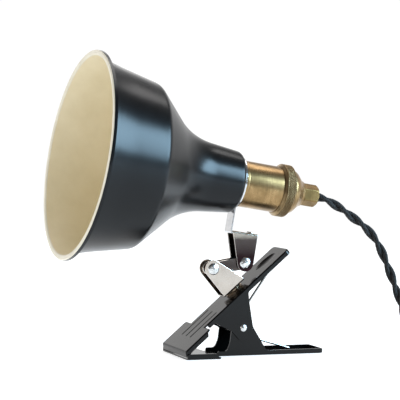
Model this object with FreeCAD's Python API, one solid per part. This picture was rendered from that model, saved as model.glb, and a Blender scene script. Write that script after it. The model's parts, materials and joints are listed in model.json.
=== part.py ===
"""Clip-on reading lamp: a spring clip, a two-pivot knuckle, a lamp holder and a spun shade.

Millimetres, +Z up.  The origin is on the table, straight under the clip's pivot pin and on
the lamp's plane of symmetry (y = 0).  The jaws and the mouth of the shade face -X, the
handles and the cord +X.  Three working frames are used and turned into place at the end:
  clip plate   u along the upper jaw's plate, w square to it, origin at the pivot pin
  head         s along the lamp's axis from the rim, v square to it in the plane y = 0
  coil         centred under the coil of cord on the table
"""
import FreeCAD, Part

import math
import os

V = FreeCAD.Vector
os.makedirs("parts", exist_ok=True)

# ---- clip: two stamped steel jaws ----
sheet = 1.2                 # steel of the jaws
clip_pivot_z = 23.2         # pivot pin above the table
jaw_slope = 40.9            # upper jaw's plate above the table, closed
plate_lift = 23.9           # pivot pin to the top of the upper plate
upper_back = 72.2           # pin to the end of the upper handle
upper_wide_back = 25.1      # pin to the back of the wide part of the upper jaw
upper_wide = 55.5           # width of the upper jaw
upper_arm = 30.8            # width of the upper handle and over its ears
upper_skirt = 4.0           # depth of the upper jaw's folded edge
lip_slope = 65.5            # front lip of the upper jaw, below its plate
lip_drop = 5.2              # front bend of the upper jaw above the lip's edge
lip_overhang = 1.5          # front bend of the upper jaw ahead of the lower one
lower_back = 74.6           # pin to the end of the lower handle
lower_wide_back = 24.0
side_gap = 0.25             # between the jaws, ear to ear and edge to edge
lower_skirt = 4.7           # height of the lower jaw's edge round the wide part
arm_skirt = 4.0             # height of the lower handle's edge
ear_round = 10.9            # round end of the upper ears
lower_ear_round = 9.3
jaw_gap = 0.3               # closed lip above the lower jaw
corner = 4.0                # plan corners of the handles
bend = 1.5                  # outer radius of the folded edges
tilt = math.radians(jaw_slope)
upper_front = (clip_pivot_z + plate_lift * math.cos(tilt) - sheet - jaw_gap - lip_drop) / math.sin(tilt)
lower_front = upper_front * math.cos(tilt) + plate_lift * math.sin(tilt) - lip_overhang
groove_pitch = 9.3
groove_width = 1.7
groove_depth = 0.6
groove_front = 38.0
groove_back = 9.0
dish_centre = 54.0          # thumb dish on the upper handle
dish_length = 23.0
dish_width = 15.0
dish_depth = 1.7

# ---- clip pin and spring ----
pin_radius = 2.0
run_gap = 0.05              # radial clearance of every pin
pin_head_radius = pin_radius + 1.0
pin_head = 1.3
wire = 2.0                  # spring wire
coil_mean = 5.8             # mean radius of the spring's coil
spring_turns = 9
upper_leg_slope = jaw_slope + 14.6
lower_leg_slope = 15.9

# ---- knuckle: two brackets and a link ----
strip = 1.2                 # plated steel of the knuckle
bracket_length = 22.8       # web of a bracket
bracket_width = 14.0
bracket_height = 24.9       # outer face of the web to the pivot
bracket_near = 7.2          # pivot to the nearer end of the web
bracket_round = 7.2
swivel_stack = 3.5          # washers between the clip and the lower bracket
swivel_gap = 0.06
swivel_u = 17.3             # swivel rivet along the upper plate
lower_pivot_u = 13.1        # lower knuckle pivot along the upper plate
link_reach = 28.72          # pivot to pivot
link_slope = 9.7
link_round = 5.2
washer_thick = 0.4
link_width = bracket_width - 2 * (strip + washer_thick + 0.1)
rivet_radius = 2.0
rivet_head_radius = 4.9
rivet_head = 1.7

# ---- head ----
axis_dip = 8.58             # the lamp's axis falls towards the cord
shade_wall = 0.8
rim_radius = 85.0
drum_front_radius = 81.6
drum_back_radius = 68.15
drum_length = 53.7
cone_length = 37.4
cone_back_radius = 30.9
shade_length = 139.0
upper_pivot_s = shade_length + 17.4
web_drop = 39.7             # the lamp's axis to the upper bracket's web
upper_pivot_v = -(web_drop + bracket_height)
strap_width = 13.0
strap_rivet_s = shade_length + 20.0

# ---- lamp holder ----
shell_radius = 19.3
shell_wall = 0.9
mouth_hole = shell_radius - 2.3     # hole in the shade's end and in the strap's disc
neck_radius = shell_radius + 6.1
strap_disc = shell_radius + 2.7
ring_front = shade_length + 36.4
ring_back = ring_front + 10.8
ring_radius = shell_radius + 2.8
cap_back = ring_back + 11.3
collar_radius = 10.8
grip_front = cap_back + 1.2
grip_length = 14.5
grip_back = grip_front + grip_length
hex_flats = 16.6
insert_radius = shell_radius - 1.4
screw_radius = 13.3         # bore of the screw shell
screw_wall = 0.4
screw_front = shade_length + 4.5
screw_back = screw_front + 19.5
contact_room = 5.0          # depth of the recess for the centre contact
contact_recess = 9.8
screw_off = 11.0            # terminal screws off the axis
stem_off = 5.5              # stem of the centre contact off the axis

# ---- cord ----
cord_diameter = 6.3
cord_room = 0.45            # round the cord in its grip
tie_thick = 0.5
coil_x = 176.0
coil_y = -66.0
coil_mean_radius = 38.0
coil_across = 3
coil_layers = 2
cord_route = [(62.8, 0, 132.65), (75.6, 0, 130.72), (89.8, 0, 124.2), (113.5, 0, 108.8),
              (124.2, 0, 99.9), (131.9, -1.5, 88.4), (137.3, -5.5, 73.0), (141.3, -14.0, 55.0),
              (142.3, -26.0, 37.5), (139.8, -39.5, 21.5), (135.0, -53.5, 9.8), (131.7, -67.0, 3.75)]
tail_route = [(21.6, 40.7, 11.3), (7.0, 46.2, 12.8), (-10.0, 40.6, 15.6),
              (-25.3, 27.1, 16.6), (-34.6, 9.2, 16.6), (-35.6, -10.9, 16.6), (-26.9, -28.8, 16.9),
              (-12.5, -38.2, 19.8), (2.0, -38.6, 19.8)]
plug_length = 24.0
plug_width = 18.0
plug_thick = 13.0
relief_length = 14.0
blade_length = 17.0
blade_width = 6.3
blade_thick = 1.5
blade_pitch = 12.7

Y_AXIS = V(0, 1, 0)
PIVOT = V(0, 0, clip_pivot_z)
CLIP_FRAME = FreeCAD.Placement(PIVOT, FreeCAD.Rotation(Y_AXIS, -jaw_slope))
LOWER_PIVOT = CLIP_FRAME.multVec(V(lower_pivot_u, 0, plate_lift + swivel_stack + bracket_height))
LINK_FRAME = FreeCAD.Placement(LOWER_PIVOT, FreeCAD.Rotation(Y_AXIS, -link_slope))
UPPER_PIVOT = LINK_FRAME.multVec(V(link_reach, 0, 0))
HEAD_TURN = FreeCAD.Rotation(Y_AXIS, axis_dip)
HEAD_FRAME = FreeCAD.Placement(UPPER_PIVOT - HEAD_TURN.multVec(V(upper_pivot_s, 0, upper_pivot_v)), HEAD_TURN)


# ---- plane shapes ----
def on_xz(a, b):
    return V(a, 0, b)


def on_xy(a, b):
    return V(a, b, 0)


def on_yz(a, b):
    return V(0, a, b)


def unit(a, b):
    length = math.hypot(a, b)
    return a / length, b / length


def corner_arc(before, point, after, radius):
    """Start, middle, end, centre and turn of the arc that rounds a corner."""
    d1 = unit(point[0] - before[0], point[1] - before[1])
    d2 = unit(after[0] - point[0], after[1] - point[1])
    cross = d1[0] * d2[1] - d1[1] * d2[0]
    turn = math.atan2(cross, d1[0] * d2[0] + d1[1] * d2[1])
    side = 1 if turn > 0 else -1
    tangent = radius * math.tan(abs(turn) / 2)
    start = (point[0] - d1[0] * tangent, point[1] - d1[1] * tangent)
    end = (point[0] + d2[0] * tangent, point[1] + d2[1] * tangent)
    centre = (start[0] - side * d1[1] * radius, start[1] + side * d1[0] * radius)
    return start, end, centre, side, d1, d2


def side_of_strip(path, radii, offset):
    """Edges of one side of a bent strip: offset to the left of its centre line."""
    edges = []
    d = unit(path[1][0] - path[0][0], path[1][1] - path[0][1])
    here = (path[0][0] - d[1] * offset, path[0][1] + d[0] * offset)
    for i in range(1, len(path) - 1):
        start, end, centre, side, d1, d2 = corner_arc(path[i - 1], path[i], path[i + 1], radii[i - 1])
        a = (start[0] - d1[1] * offset, start[1] + d1[0] * offset)
        b = (end[0] - d2[1] * offset, end[1] + d2[0] * offset)
        to_corner = unit(path[i][0] - centre[0], path[i][1] - centre[1])
        reach = radii[i - 1] - side * offset
        middle = (centre[0] + to_corner[0] * reach, centre[1] + to_corner[1] * reach)
        edges.append((here, a))
        edges.append((a, middle, b))
        here = b
    d = unit(path[-1][0] - path[-2][0], path[-1][1] - path[-2][1])
    edges.append((here, (path[-1][0] - d[1] * offset, path[-1][1] + d[0] * offset)))
    return edges


def make_edge(points, lift):
    points = [lift(*p) for p in points]
    if len(points) == 2:
        return Part.LineSegment(*points).toShape()
    return Part.Arc(*points).toShape()


def strip_face(path, radii, thick, lift):
    """Face of a bent strip of sheet: its centre line, and a radius on it for each corner."""
    left = side_of_strip(path, radii, thick / 2)
    right = [tuple(reversed(e)) for e in reversed(side_of_strip(path, radii, -thick / 2))]
    loop = left + [(left[-1][-1], right[0][0])] + right + [(right[-1][-1], left[0][0])]
    return Part.Face(Part.Wire([make_edge(e, lift) for e in loop]))


def rounded_face(points, radii, lift):
    """Face of a polygon whose corners are rounded; a radius of 0 leaves a corner sharp."""
    count = len(points)
    edges = []
    arcs = []
    for i, point in enumerate(points):
        if radii[i] > 0:
            before, after = points[i - 1], points[(i + 1) % count]
            start, end, centre, side, d1, d2 = corner_arc(before, point, after, radii[i])
            out = unit(point[0] - centre[0], point[1] - centre[1])
            middle = (centre[0] + out[0] * radii[i], centre[1] + out[1] * radii[i])
            arcs.append((start, middle, end))
        else:
            arcs.append((point, None, point))
    for i in range(count):
        start, middle, end = arcs[i]
        if middle is not None:
            edges.append(make_edge((start, middle, end), lift))
        following = arcs[(i + 1) % count][0]
        if math.dist(end, following) > 1e-6:
            edges.append(make_edge((end, following), lift))
    return Part.Face(Part.Wire(edges))


def slab(points, radii, width):
    """Polygon in the plane y = 0, thickened evenly to both sides."""
    face = rounded_face(points, radii, on_xz)
    face.translate(V(0, -width / 2, 0))
    return face.extrude(V(0, width, 0))


def box(x0, x1, y0, y1, z0, z1):
    return Part.makeBox(x1 - x0, y1 - y0, z1 - z0, V(x0, y0, z0))


def rod(radius, half, x=0, z=0):
    """Round bar along Y, reaching `half` to both sides."""
    return Part.makeCylinder(radius, 2 * half, V(x, -half, z), Y_AXIS)


def turned(points, radii=None):
    """Solid of revolution about X from a closed outline of (x, radius) points."""
    face = rounded_face(points, radii or [0] * len(points), on_xz)
    return face.revolve(V(0, 0, 0), V(1, 0, 0), 360)


def fused(shapes):
    return shapes[0].fuse(shapes[1:]).removeSplitter()


def domed_rivet(shaft, head, rise, inner, outer_a, outer_b):
    """Rivet along Y from -outer_a to outer_b, its shaft `shaft` thick, with domed heads."""
    dome = rise * 0.45
    profile = [(-outer_a - rise, 0), (-outer_a - rise, head * 0.55), (-outer_a - dome, head), (-outer_a, head),
               (-outer_a, shaft), (outer_b, shaft), (outer_b, head), (outer_b + dome, head),
               (outer_b + rise, head * 0.55), (outer_b + rise, 0)]
    rounds = [0, head * 0.3, dome * 0.4, 0, inner, inner, 0, dome * 0.4, head * 0.3, 0]
    solid = turned(profile, rounds)
    solid.rotate(V(0, 0, 0), V(0, 0, 1), 90)
    return solid


# ---- clip ----
def upper_ear_outline():
    """Upper jaw's ear in the plate frame, clockwise from the front of its root."""
    root = plate_lift - upper_skirt
    return [(-16.4, root), (-9.5, 5.3), (-ear_round * 0.82, -ear_round * 0.62), (-2.0, -ear_round * 1.12),
            (4.6, -12.2), (7.3, -4.1), (17.4, 13.0), (22.0, root)]


def upper_lid(inset):
    """Wide front part as a full block; `inset` shrinks it to the hollow under the sheet."""
    top = plate_lift - inset
    angle = math.radians(lip_slope)
    fall = (math.cos(angle), math.sin(angle))
    # the corner of the bend moves in along the bisector of plate and lip
    shift = inset * math.tan(angle / 2)
    front = -upper_front + shift
    drop = lip_length() + (shift if inset else 0)
    lip = (front - fall[0] * drop, top - fall[1] * drop)
    low = plate_lift - upper_skirt
    back = -upper_wide_back + (1 if inset else 0)
    points = [(back, top), (front, top), lip]
    if inset:
        points += [(lip[0] + 3, lip[1] - 3), (back, low - 6)]
    else:
        inner = (lip[0] + sheet * math.sin(angle), lip[1] - sheet * math.cos(angle))
        points += [inner, (-upper_front + 4.5, low), (back - 5.0, low), (back - 3.0, top - sheet),
                   (back, top - sheet)]
    radii = [0] * len(points)
    radii[1] = 2.6 - inset
    return slab(points, radii, upper_wide - 2 * inset)


def lip_length():
    """Length of the lip from the bend's corner down to just above the lower jaw."""
    fall = math.radians(180 + jaw_slope + lip_slope)
    return (lip_drop - sheet * abs(math.cos(fall))) / abs(math.sin(fall))


def upper_jaw():
    low = plate_lift - upper_skirt
    front = -upper_wide_back - 2
    wide = upper_lid(0).cut(upper_lid(sheet))
    arm_line = [(front, plate_lift), (upper_back, plate_lift), (upper_back, low)]
    ear = upper_ear_outline()
    arm = slab(arm_line + list(reversed(ear)) + [(front + 4.5, low), (front + 4.5, plate_lift - sheet),
                                                 (front, plate_lift - sheet)],
               [0, 0, 2.0] + [3.0, 3.0, 2.0, 3.5, 5.5, 6.0, 4.0, 3.0] + [1.5, 0, 0], upper_arm)
    hollow = arm_hollow(front - 1, upper_back - sheet, upper_arm / 2 - sheet)
    hollow.translate(V(0, 0, plate_lift - sheet - 60))
    arm = arm.cut(hollow)
    jaw = fused([wide, arm])
    jaw = jaw.common(upper_plan())
    jaw = soften(jaw, plate_lift)
    for side in (-1, 0, 1):
        jaw = jaw.cut(groove(side * groove_pitch))
    jaw = thumb_dish(jaw)
    jaw = jaw.cut(rod(pin_radius + run_gap, upper_arm))
    jaw = jaw.cut(Part.makeCylinder(rivet_radius + run_gap, 10, V(swivel_u, 0, plate_lift - 5), V(0, 0, 1)))
    jaw.Placement = CLIP_FRAME.multiply(jaw.Placement)
    return jaw


def arm_hollow(front, back, half):
    """Room between the folded edges of a handle, round in its rear corners, 60 high."""
    r = corner - sheet
    face = rounded_face([(front, -half), (back, -half), (back, half), (front, half)], [0, r, r, 0], on_xy)
    return face.extrude(V(0, 0, 60))


def upper_plan():
    """Plan outline of the upper jaw: wide part and handle with rounded corners."""
    far = upper_front + 12
    wide = upper_wide / 2
    arm = upper_arm / 2
    points = [(-far, -wide), (-upper_wide_back, -wide), (-upper_wide_back, -arm), (upper_back, -arm),
              (upper_back, arm), (-upper_wide_back, arm), (-upper_wide_back, wide), (-far, wide)]
    radii = [0, 2.5, 1.5, corner, corner, 1.5, 2.5, 0]
    face = rounded_face(points, radii, on_xy)
    face.translate(V(0, 0, -30))
    return face.extrude(V(0, 0, 60))


def soften(jaw, level):
    """Round the outer edges of a folded jaw at the given level, all but its front one."""
    chosen = []
    for edge in jaw.Edges:
        room = edge.BoundBox
        flat = abs(room.ZMin - level) < 0.01 and abs(room.ZMax - level) < 0.01
        front = room.XMin < -lower_wide_back - 5 and room.XLength < 0.01
        if flat and not front:
            chosen.append(edge)
    return jaw.makeFillet(bend * 0.7, chosen)


def groove(y):
    """Pressed groove along the upper jaw, round at both ends."""
    half = groove_width / 2
    z = plate_lift - groove_depth
    length = groove_front - groove_back
    bar = Part.makeBox(length, groove_width, 3, V(-groove_front, y - half, z))
    ends = [Part.makeCylinder(half, 3, V(x, y, z)) for x in (-groove_front, -groove_back)]
    return fused([bar] + ends)


def ellipsoid(x, z, half_length, half_width, half_depth):
    """Ellipsoid centred on (x, 0, z)."""
    ball = Part.makeSphere(1.0)
    matrix = FreeCAD.Matrix()
    matrix.scale(half_length, half_width, half_depth)
    ball = ball.transformGeometry(matrix)
    ball.translate(V(x, 0, z))
    return ball


def thumb_dish(jaw):
    """Press a shallow oval dish into the handle: a boss below and a hollow above."""
    length, width = dish_length / 2, dish_width / 2
    boss = ellipsoid(dish_centre, plate_lift - sheet, length, width, dish_depth)
    below = box(-90, 90, -30, 30, -30, plate_lift - sheet * 0.6)
    hollow = ellipsoid(dish_centre, plate_lift, length - 0.8, width - 0.8, dish_depth)
    return fused([jaw, boss.common(below)]).cut(hollow)


def lower_jaw():
    arm_width = upper_arm - 2 * (sheet + side_gap)
    wide_width = upper_wide + 2 * (sheet + side_gap)
    ear_top = clip_pivot_z + lower_ear_round
    back = -lower_wide_back
    wide = slab([(-lower_front, 0), (back, 0), (back, sheet), (back - 3, sheet), (back - 4.5, lower_skirt),
                 (-lower_front, lower_skirt)], [0, 0, 0, 0, 1.0, 2.0], wide_width)
    wide = wide.cut(box(-lower_front - 1, -lower_wide_back + 1, -wide_width / 2 + sheet, wide_width / 2 - sheet,
                        sheet, 30))
    front = -lower_wide_back - 3
    arm = slab([(front, 0), (lower_back, 0), (lower_back, arm_skirt), (21.6, arm_skirt), (8.6, 24.4),
                (7.5, ear_top), (-8.8, ear_top), (-11.3, 10.6), (-14.0, arm_skirt), (front + 5, arm_skirt),
                (front + 5, sheet), (front, sheet)],
               [0, 0, 1.5, 3.0, 3.0, 6.5, 6.5, 6.0, 4.0, 1.5, 0, 0], arm_width)
    hollow = arm_hollow(front - 1, lower_back - sheet, arm_width / 2 - sheet)
    hollow.translate(V(0, 0, sheet))
    arm = arm.cut(hollow)
    jaw = fused([wide, arm])
    plan = rounded_face([(-lower_front, -wide_width / 2), (-lower_wide_back, -wide_width / 2),
                         (-lower_wide_back, -arm_width / 2), (lower_back, -arm_width / 2),
                         (lower_back, arm_width / 2), (-lower_wide_back, arm_width / 2),
                         (-lower_wide_back, wide_width / 2), (-lower_front, wide_width / 2)],
                        [0, 2.5, 1.5, corner, corner, 1.5, 2.5, 0], on_xy)
    plan.translate(V(0, 0, -1))
    jaw = jaw.common(plan.extrude(V(0, 0, 80)))
    jaw = soften(jaw, 0)
    return jaw.cut(rod(pin_radius + run_gap, upper_arm, 0, clip_pivot_z))


def pivot_pin():
    half = upper_arm / 2 + run_gap
    pin = domed_rivet(pin_radius, pin_head_radius, pin_head, 0, half, half)
    pin.translate(PIVOT)
    return pin


def clip_spring():
    """Torsion spring round the pin: a ribbed sleeve for the close coils, and two straight legs."""
    radius = wire / 2
    half = spring_turns * wire / 2
    outline = [make_edge(((-half, coil_mean - radius), (half, coil_mean - radius)), on_xz)]
    crest, foot = coil_mean + radius, coil_mean + radius * 0.55
    outline.append(make_edge(((half, coil_mean - radius), (half, foot)), on_xz))
    for turn in range(spring_turns):
        x = half - turn * wire
        outline.append(make_edge(((x, foot), (x - radius, crest), (x - wire, foot)), on_xz))
    outline.append(make_edge(((-half, foot), (-half, coil_mean - radius)), on_xz))
    sleeve = Part.Face(Part.Wire(outline)).revolve(V(0, 0, 0), V(1, 0, 0), 360)
    sleeve.rotate(V(0, 0, 0), V(0, 0, 1), 90)
    return fused([sleeve, upper_leg(), lower_leg()]).translated(PIVOT)


def upper_leg():
    """Leg at the near end of the coil, tangent to its top, up under the upper handle."""
    slope = math.radians(upper_leg_slope)
    rise = math.radians(upper_leg_slope - jaw_slope)
    reach = (plate_lift - sheet - wire / 2 - 0.15 - coil_mean * math.cos(rise)) / math.sin(rise)
    start = V(-coil_mean * math.sin(slope), -(spring_turns - 1) * wire / 2, coil_mean * math.cos(slope))
    return Part.makeCylinder(wire / 2, reach, start, V(math.cos(slope), 0, math.sin(slope)))


def lower_leg():
    """Leg at the far end of the coil, tangent to its bottom, down onto the lower handle."""
    slope = math.radians(lower_leg_slope)
    fall = clip_pivot_z - coil_mean * math.cos(slope) - sheet - wire / 2 - 0.15
    start = V(-coil_mean * math.sin(slope), (spring_turns - 1) * wire / 2, -coil_mean * math.cos(slope))
    return Part.makeCylinder(wire / 2, fall / math.sin(slope), start, V(math.cos(slope), 0, -math.sin(slope)))


# ---- knuckle ----
def bracket():
    """U bracket: pivot at the origin, web below it, the web's nearer end towards -X."""
    outline = [(-bracket_near, -bracket_height), (bracket_length - bracket_near, -bracket_height)]
    base = rounded_face(outline + [(bracket_round, bracket_round), (-bracket_round, bracket_round)],
                        [0, 0, 0, 0], on_xz)
    ear = bracket_ear()
    width = bracket_width
    block = ear.copy()
    block.translate(V(0, -width / 2, 0))
    block = block.extrude(V(0, width, 0))
    room = box(-60, 60, -width / 2 + strip, width / 2 - strip, -bracket_height + strip, 60)
    body = block.cut(room)
    edges = [e for e in body.Edges
             if abs(e.BoundBox.ZMin + bracket_height) < 0.01 and abs(e.BoundBox.ZMax + bracket_height) < 0.01
             and e.BoundBox.XLength > 5]
    body = body.makeFillet(1.6, edges)
    return body.cut(rod(rivet_radius + run_gap, width))


def bracket_ear():
    """Face of the ear: a round eye, one straight side and one slanting side down to the web."""
    r = bracket_round
    far = bracket_length - bracket_near
    # tangent from the web's far corner to the round eye
    reach = math.hypot(far, bracket_height)
    lean = math.atan2(bracket_height, far)
    swing = math.asin(r / reach)
    angle = lean + swing
    contact = (far - math.cos(angle) * math.sqrt(reach ** 2 - r ** 2),
               -bracket_height + math.sin(angle) * math.sqrt(reach ** 2 - r ** 2))
    edges = [make_edge(((-r, -bracket_height), (far, -bracket_height)), on_xz),
             make_edge(((far, -bracket_height), contact), on_xz),
             make_edge((contact, (0, r), (-r, 0)), on_xz),
             make_edge(((-r, 0), (-r, -bracket_height)), on_xz)]
    return Part.Face(Part.Wire(edges))


def swivel_point(height):
    return V(swivel_u, 0, plate_lift + height)


def lower_bracket():
    body = bracket()
    body.translate(V(lower_pivot_u, 0, plate_lift + swivel_stack + bracket_height))
    body = body.cut(Part.makeCylinder(rivet_radius + run_gap, 10, swivel_point(0), V(0, 0, 1)))
    body.Placement = CLIP_FRAME.multiply(body.Placement)
    return body


def washer(outer, thick, height):
    ring = Part.makeCylinder(outer, thick, swivel_point(height), V(0, 0, 1))
    ring = ring.cut(Part.makeCylinder(rivet_radius + run_gap, thick, swivel_point(height), V(0, 0, 1)))
    return ring


def swivel_washer():
    """Flat washer on the clip's plate."""
    ring = washer(8.2, 1.1, 0)
    ring.Placement = CLIP_FRAME.multiply(ring.Placement)
    return ring


def spring_washer():
    """Dished spring washer that gives the swivel its drag."""
    low, high, thick, rise = 2.6, 7.0, 0.7, 0.55
    outline = [(low, rise), (high, 0), (high, thick), (low, rise + thick)]
    ring = rounded_face(outline, [0] * 4, on_xz).revolve(V(0, 0, 0), V(0, 0, 1), 360)
    ring.translate(swivel_point(1.1))
    ring.Placement = CLIP_FRAME.multiply(ring.Placement)
    return ring


def bracket_washer():
    """Flat washer under the lower bracket."""
    ring = washer(7.4, swivel_stack - swivel_gap - 2.35, 2.35)
    ring.Placement = CLIP_FRAME.multiply(ring.Placement)
    return ring


def swivel_rivet():
    """Rivet through the clip's plate, the washers and the bracket's web."""
    top = swivel_stack + strip + swivel_gap
    shaft = Part.makeCylinder(rivet_radius, top + sheet, swivel_point(-sheet), V(0, 0, 1))
    head = Part.makeCylinder(4.0, 1.2, swivel_point(top), V(0, 0, 1))
    tail = Part.makeCylinder(3.6, 1.2, swivel_point(-sheet - 1.2), V(0, 0, 1))
    head = head.makeFillet(0.7, [e for e in head.Edges if e.BoundBox.ZMin > plate_lift + top + 1])
    rivet = fused([shaft, head, tail])
    rivet.Placement = CLIP_FRAME.multiply(rivet.Placement)
    return rivet


def link():
    """Channel between the pivots, open upwards, with its web between the two eyes."""
    r = link_round
    edges = [make_edge(((0, -r), (link_reach, -r)), on_xz),
             make_edge(((link_reach, -r), (link_reach + r, 0), (link_reach, r)), on_xz),
             make_edge(((link_reach, r), (0, r)), on_xz),
             make_edge(((0, r), (-r, 0), (0, -r)), on_xz)]
    face = Part.Face(Part.Wire(edges))
    face.translate(V(0, -link_width / 2, 0))
    block = face.extrude(V(0, link_width, 0))
    inner = link_width / 2 - strip
    room = box(-60, 60, -inner, inner, -r + strip, 60)
    ends = [box(-60, r, -inner, inner, -60, 60), box(link_reach - r, 60, -inner, inner, -60, 60)]
    body = block.cut(room).cut(ends[0]).cut(ends[1])
    for x in (0, link_reach):
        body = body.cut(rod(rivet_radius + run_gap, link_width, x, 0))
    body.Placement = LINK_FRAME.multiply(body.Placement)
    return body


def hinge_rivet(at):
    half = bracket_width / 2 + run_gap
    rivet = domed_rivet(rivet_radius, rivet_head_radius, rivet_head, 0, half, half)
    rivet.translate(at)
    return rivet


def hinge_washers(at):
    """A pair of thin friction washers between the bracket's ears and the link."""
    inner = bracket_width / 2 - strip
    middle = (inner + link_width / 2) / 2
    rings = []
    for side in (-1, 1):
        start = V(at.x, at.y + side * middle - washer_thick / 2, at.z)
        ring = Part.makeCylinder(link_round - 0.2, washer_thick, start, Y_AXIS)
        rings.append(ring.cut(Part.makeCylinder(rivet_radius + run_gap, washer_thick, start, Y_AXIS)))
    return Part.makeCompound(rings)


def hinge_spacer(at):
    """Tube on the rivet that keeps the link's two sides apart when the joint is tight."""
    half = link_width / 2 - strip - run_gap
    tube = rod(rivet_radius + 1.1, half).cut(rod(rivet_radius + run_gap, half))
    tube.translate(at)
    return tube


# ---- head ----
def in_head(shape):
    shape.Placement = HEAD_FRAME.multiply(shape.Placement)
    return shape


def upper_bracket():
    body = bracket()
    body.rotate(V(0, 0, 0), Y_AXIS, 180)
    body.translate(V(upper_pivot_s, 0, upper_pivot_v))
    body = body.cut(Part.makeCylinder(1.65, 10, V(strap_rivet_s, 0, web_top() - 5), V(0, 0, 1)))
    return in_head(body)


def web_top():
    return upper_pivot_v + bracket_height


def strap_bracket():
    """Disc behind the shade, a strap down from it, and a foot bent back under the bracket."""
    s = shade_length + strip / 2
    foot = web_top() - strip - strip / 2 - run_gap
    disc = Part.makeCylinder(strap_disc, strip, V(shade_length, 0, 0), V(1, 0, 0))
    face = strip_face([(s, -strap_disc + 4), (s, foot), (strap_rivet_s + 4.5, foot)], [1.0], strip, on_xz)
    face.translate(V(0, -strap_width / 2, 0))
    strap = face.extrude(V(0, strap_width, 0))
    foot_width = bracket_width - 2 * strip - 0.8
    trim = []
    for side in (-1, 1):
        inner = side * foot_width / 2
        outer = side * (strap_width / 2 + 1)
        trim.append(box(shade_length + strip + 0.3, strap_rivet_s + 9, min(inner, outer), max(inner, outer),
                        foot - 9, web_top() - strip + 0.2))
    strap = strap.cut(trim[0]).cut(trim[1])
    body = fused([disc, strap])
    body = body.cut(Part.makeCylinder(mouth_hole, 9, V(shade_length - 3, 0, 0), V(1, 0, 0)))
    body = body.cut(Part.makeCylinder(1.65, 20, V(strap_rivet_s, 0, foot - 10), V(0, 0, 1)))
    return in_head(body)


def strap_rivet():
    top = web_top() + run_gap
    bottom = web_top() - 2 * strip - 2 * run_gap
    head = Part.makeCylinder(2.9, 1.3, V(strap_rivet_s, 0, top), V(0, 0, 1))
    head = head.makeFillet(0.8, [e for e in head.Edges if e.BoundBox.ZMin > top + 1])
    shaft = Part.makeCylinder(1.6, top - bottom, V(strap_rivet_s, 0, bottom), V(0, 0, 1))
    tail = Part.makeCylinder(2.7, 1.0, V(strap_rivet_s, 0, bottom - 1.0), V(0, 0, 1))
    return in_head(fused([head, shaft, tail]))


def shade():
    """Spun shade: rolled rim, slightly flared drum, cone, long fillet and neck."""
    half = shade_wall / 2
    end = shade_length - half
    path = [(3.2, rim_radius - half), (half, rim_radius - half), (half, drum_front_radius - half),
            (14.0, drum_front_radius - 4.95 - half), (drum_length, drum_back_radius - half),
            (drum_length + cone_length, cone_back_radius - half), (end, neck_radius - half), (end, mouth_hole)]
    face = strip_face(path, [0.9, 1.5, 160.0, 8.0, 57.0, 4.6], shade_wall, on_xz)
    return in_head(face.revolve(V(0, 0, 0), V(1, 0, 0), 360))


def shade_nut():
    """Threaded ring inside the shade's neck that clamps shade and strap to the holder."""
    back = shade_length - shade_wall
    front = back - 6.0
    outer = mouth_hole + 3.2
    nut = turned([(front, mouth_hole - 0.15), (back, mouth_hole - 0.15), (back, outer), (front + 2, outer),
                  (front + 2, outer - 1.2), (front, outer - 1.2)], [0, 0, 0.5, 0, 0, 0.5])
    slots = [box(front - 1, front + 2, -1.5, 1.5, mouth_hole - 2, outer + 2) for _ in range(4)]
    for i, slot in enumerate(slots):
        slot.rotate(V(0, 0, 0), V(1, 0, 0), 45 + 90 * i)
        nut = nut.cut(slot)
    return in_head(nut)


def socket_shell():
    """Brass shell: a threaded neck through the shade and a plain barrel behind it."""
    r = shell_radius
    front = shade_length - shade_wall - 6.5
    step = shade_length + strip + run_gap
    neck = mouth_hole - 0.2
    end = ring_front + 4.0
    return in_head(turned([(front, neck - 1.0), (front, neck), (step, neck), (step, r), (end, r),
                           (end, r - shell_wall), (step + 1.0, r - shell_wall), (step + 1.0, neck - 1.0)],
                          [0, 0, 0, 1.0, 0, 0, 0, 0]))


def porcelain_insert():
    """Glazed insulator: a cup that holds the screw shell, with a thick base for the contacts."""
    front = shade_length + strip + 1.4
    back = ring_front + 2.0
    bore = screw_radius + screw_wall + 0.1
    shelf = screw_back + 0.1
    body = turned([(front, bore), (shelf, bore), (shelf, contact_recess), (shelf + contact_room, contact_recess),
                   (shelf + contact_room, 0), (back, 0), (back, insert_radius - 3), (back - 3, insert_radius),
                   (front, insert_radius)], [0, 0, 0, 0, 0, 0, 1.0, 1.0, 1.0])
    for side in (-1, 1):
        body = body.cut(Part.makeCylinder(2.05, 7, V(back - 6, 0, side * screw_off), V(1, 0, 0)))
    return in_head(body.cut(Part.makeCylinder(1.25, 30, V(screw_back - 9, 0, -stem_off), V(1, 0, 0))))


def screw_shell():
    """Thin shell that takes the bulb's screw cap, with three rolled threads."""
    r, t = screw_radius, screw_wall
    tube = turned([(screw_front, r), (screw_back, r), (screw_back, r + t), (screw_front, r + t)])
    return in_head(tube)


def centre_contact():
    """Springy brass leaf in the insulator's recess, on a stem through its base."""
    seat = screw_back + contact_room - 0.2
    leaf = strip_face([(seat, -9.0), (seat, -3.0), (seat - 4.3, 3.5)], [2.0], 0.5, on_xz)
    leaf.translate(V(0, -2.5, 0))
    body = leaf.extrude(V(0, 5, 0))
    stem = Part.makeCylinder(1.2, 9, V(seat - 0.1, 0, -stem_off), V(1, 0, 0))
    return in_head(fused([body, stem]))


def terminal_screws():
    """Two brass screws in the back of the insulator that hold the leads."""
    back = ring_front + 2.0
    screws = []
    for z in (-screw_off, screw_off):
        shaft = Part.makeCylinder(2.0, 6.5, V(back - 5.5, 0, z), V(1, 0, 0))
        head = Part.makeCylinder(3.4, 2.0, V(back + 1.0, 0, z), V(1, 0, 0))
        slot = box(back + 2.2, back + 4, -0.5, 0.5, z - 4, z + 4)
        screws.append(fused([shaft, head]).cut(slot))
    return in_head(Part.makeCompound(screws))


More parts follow.
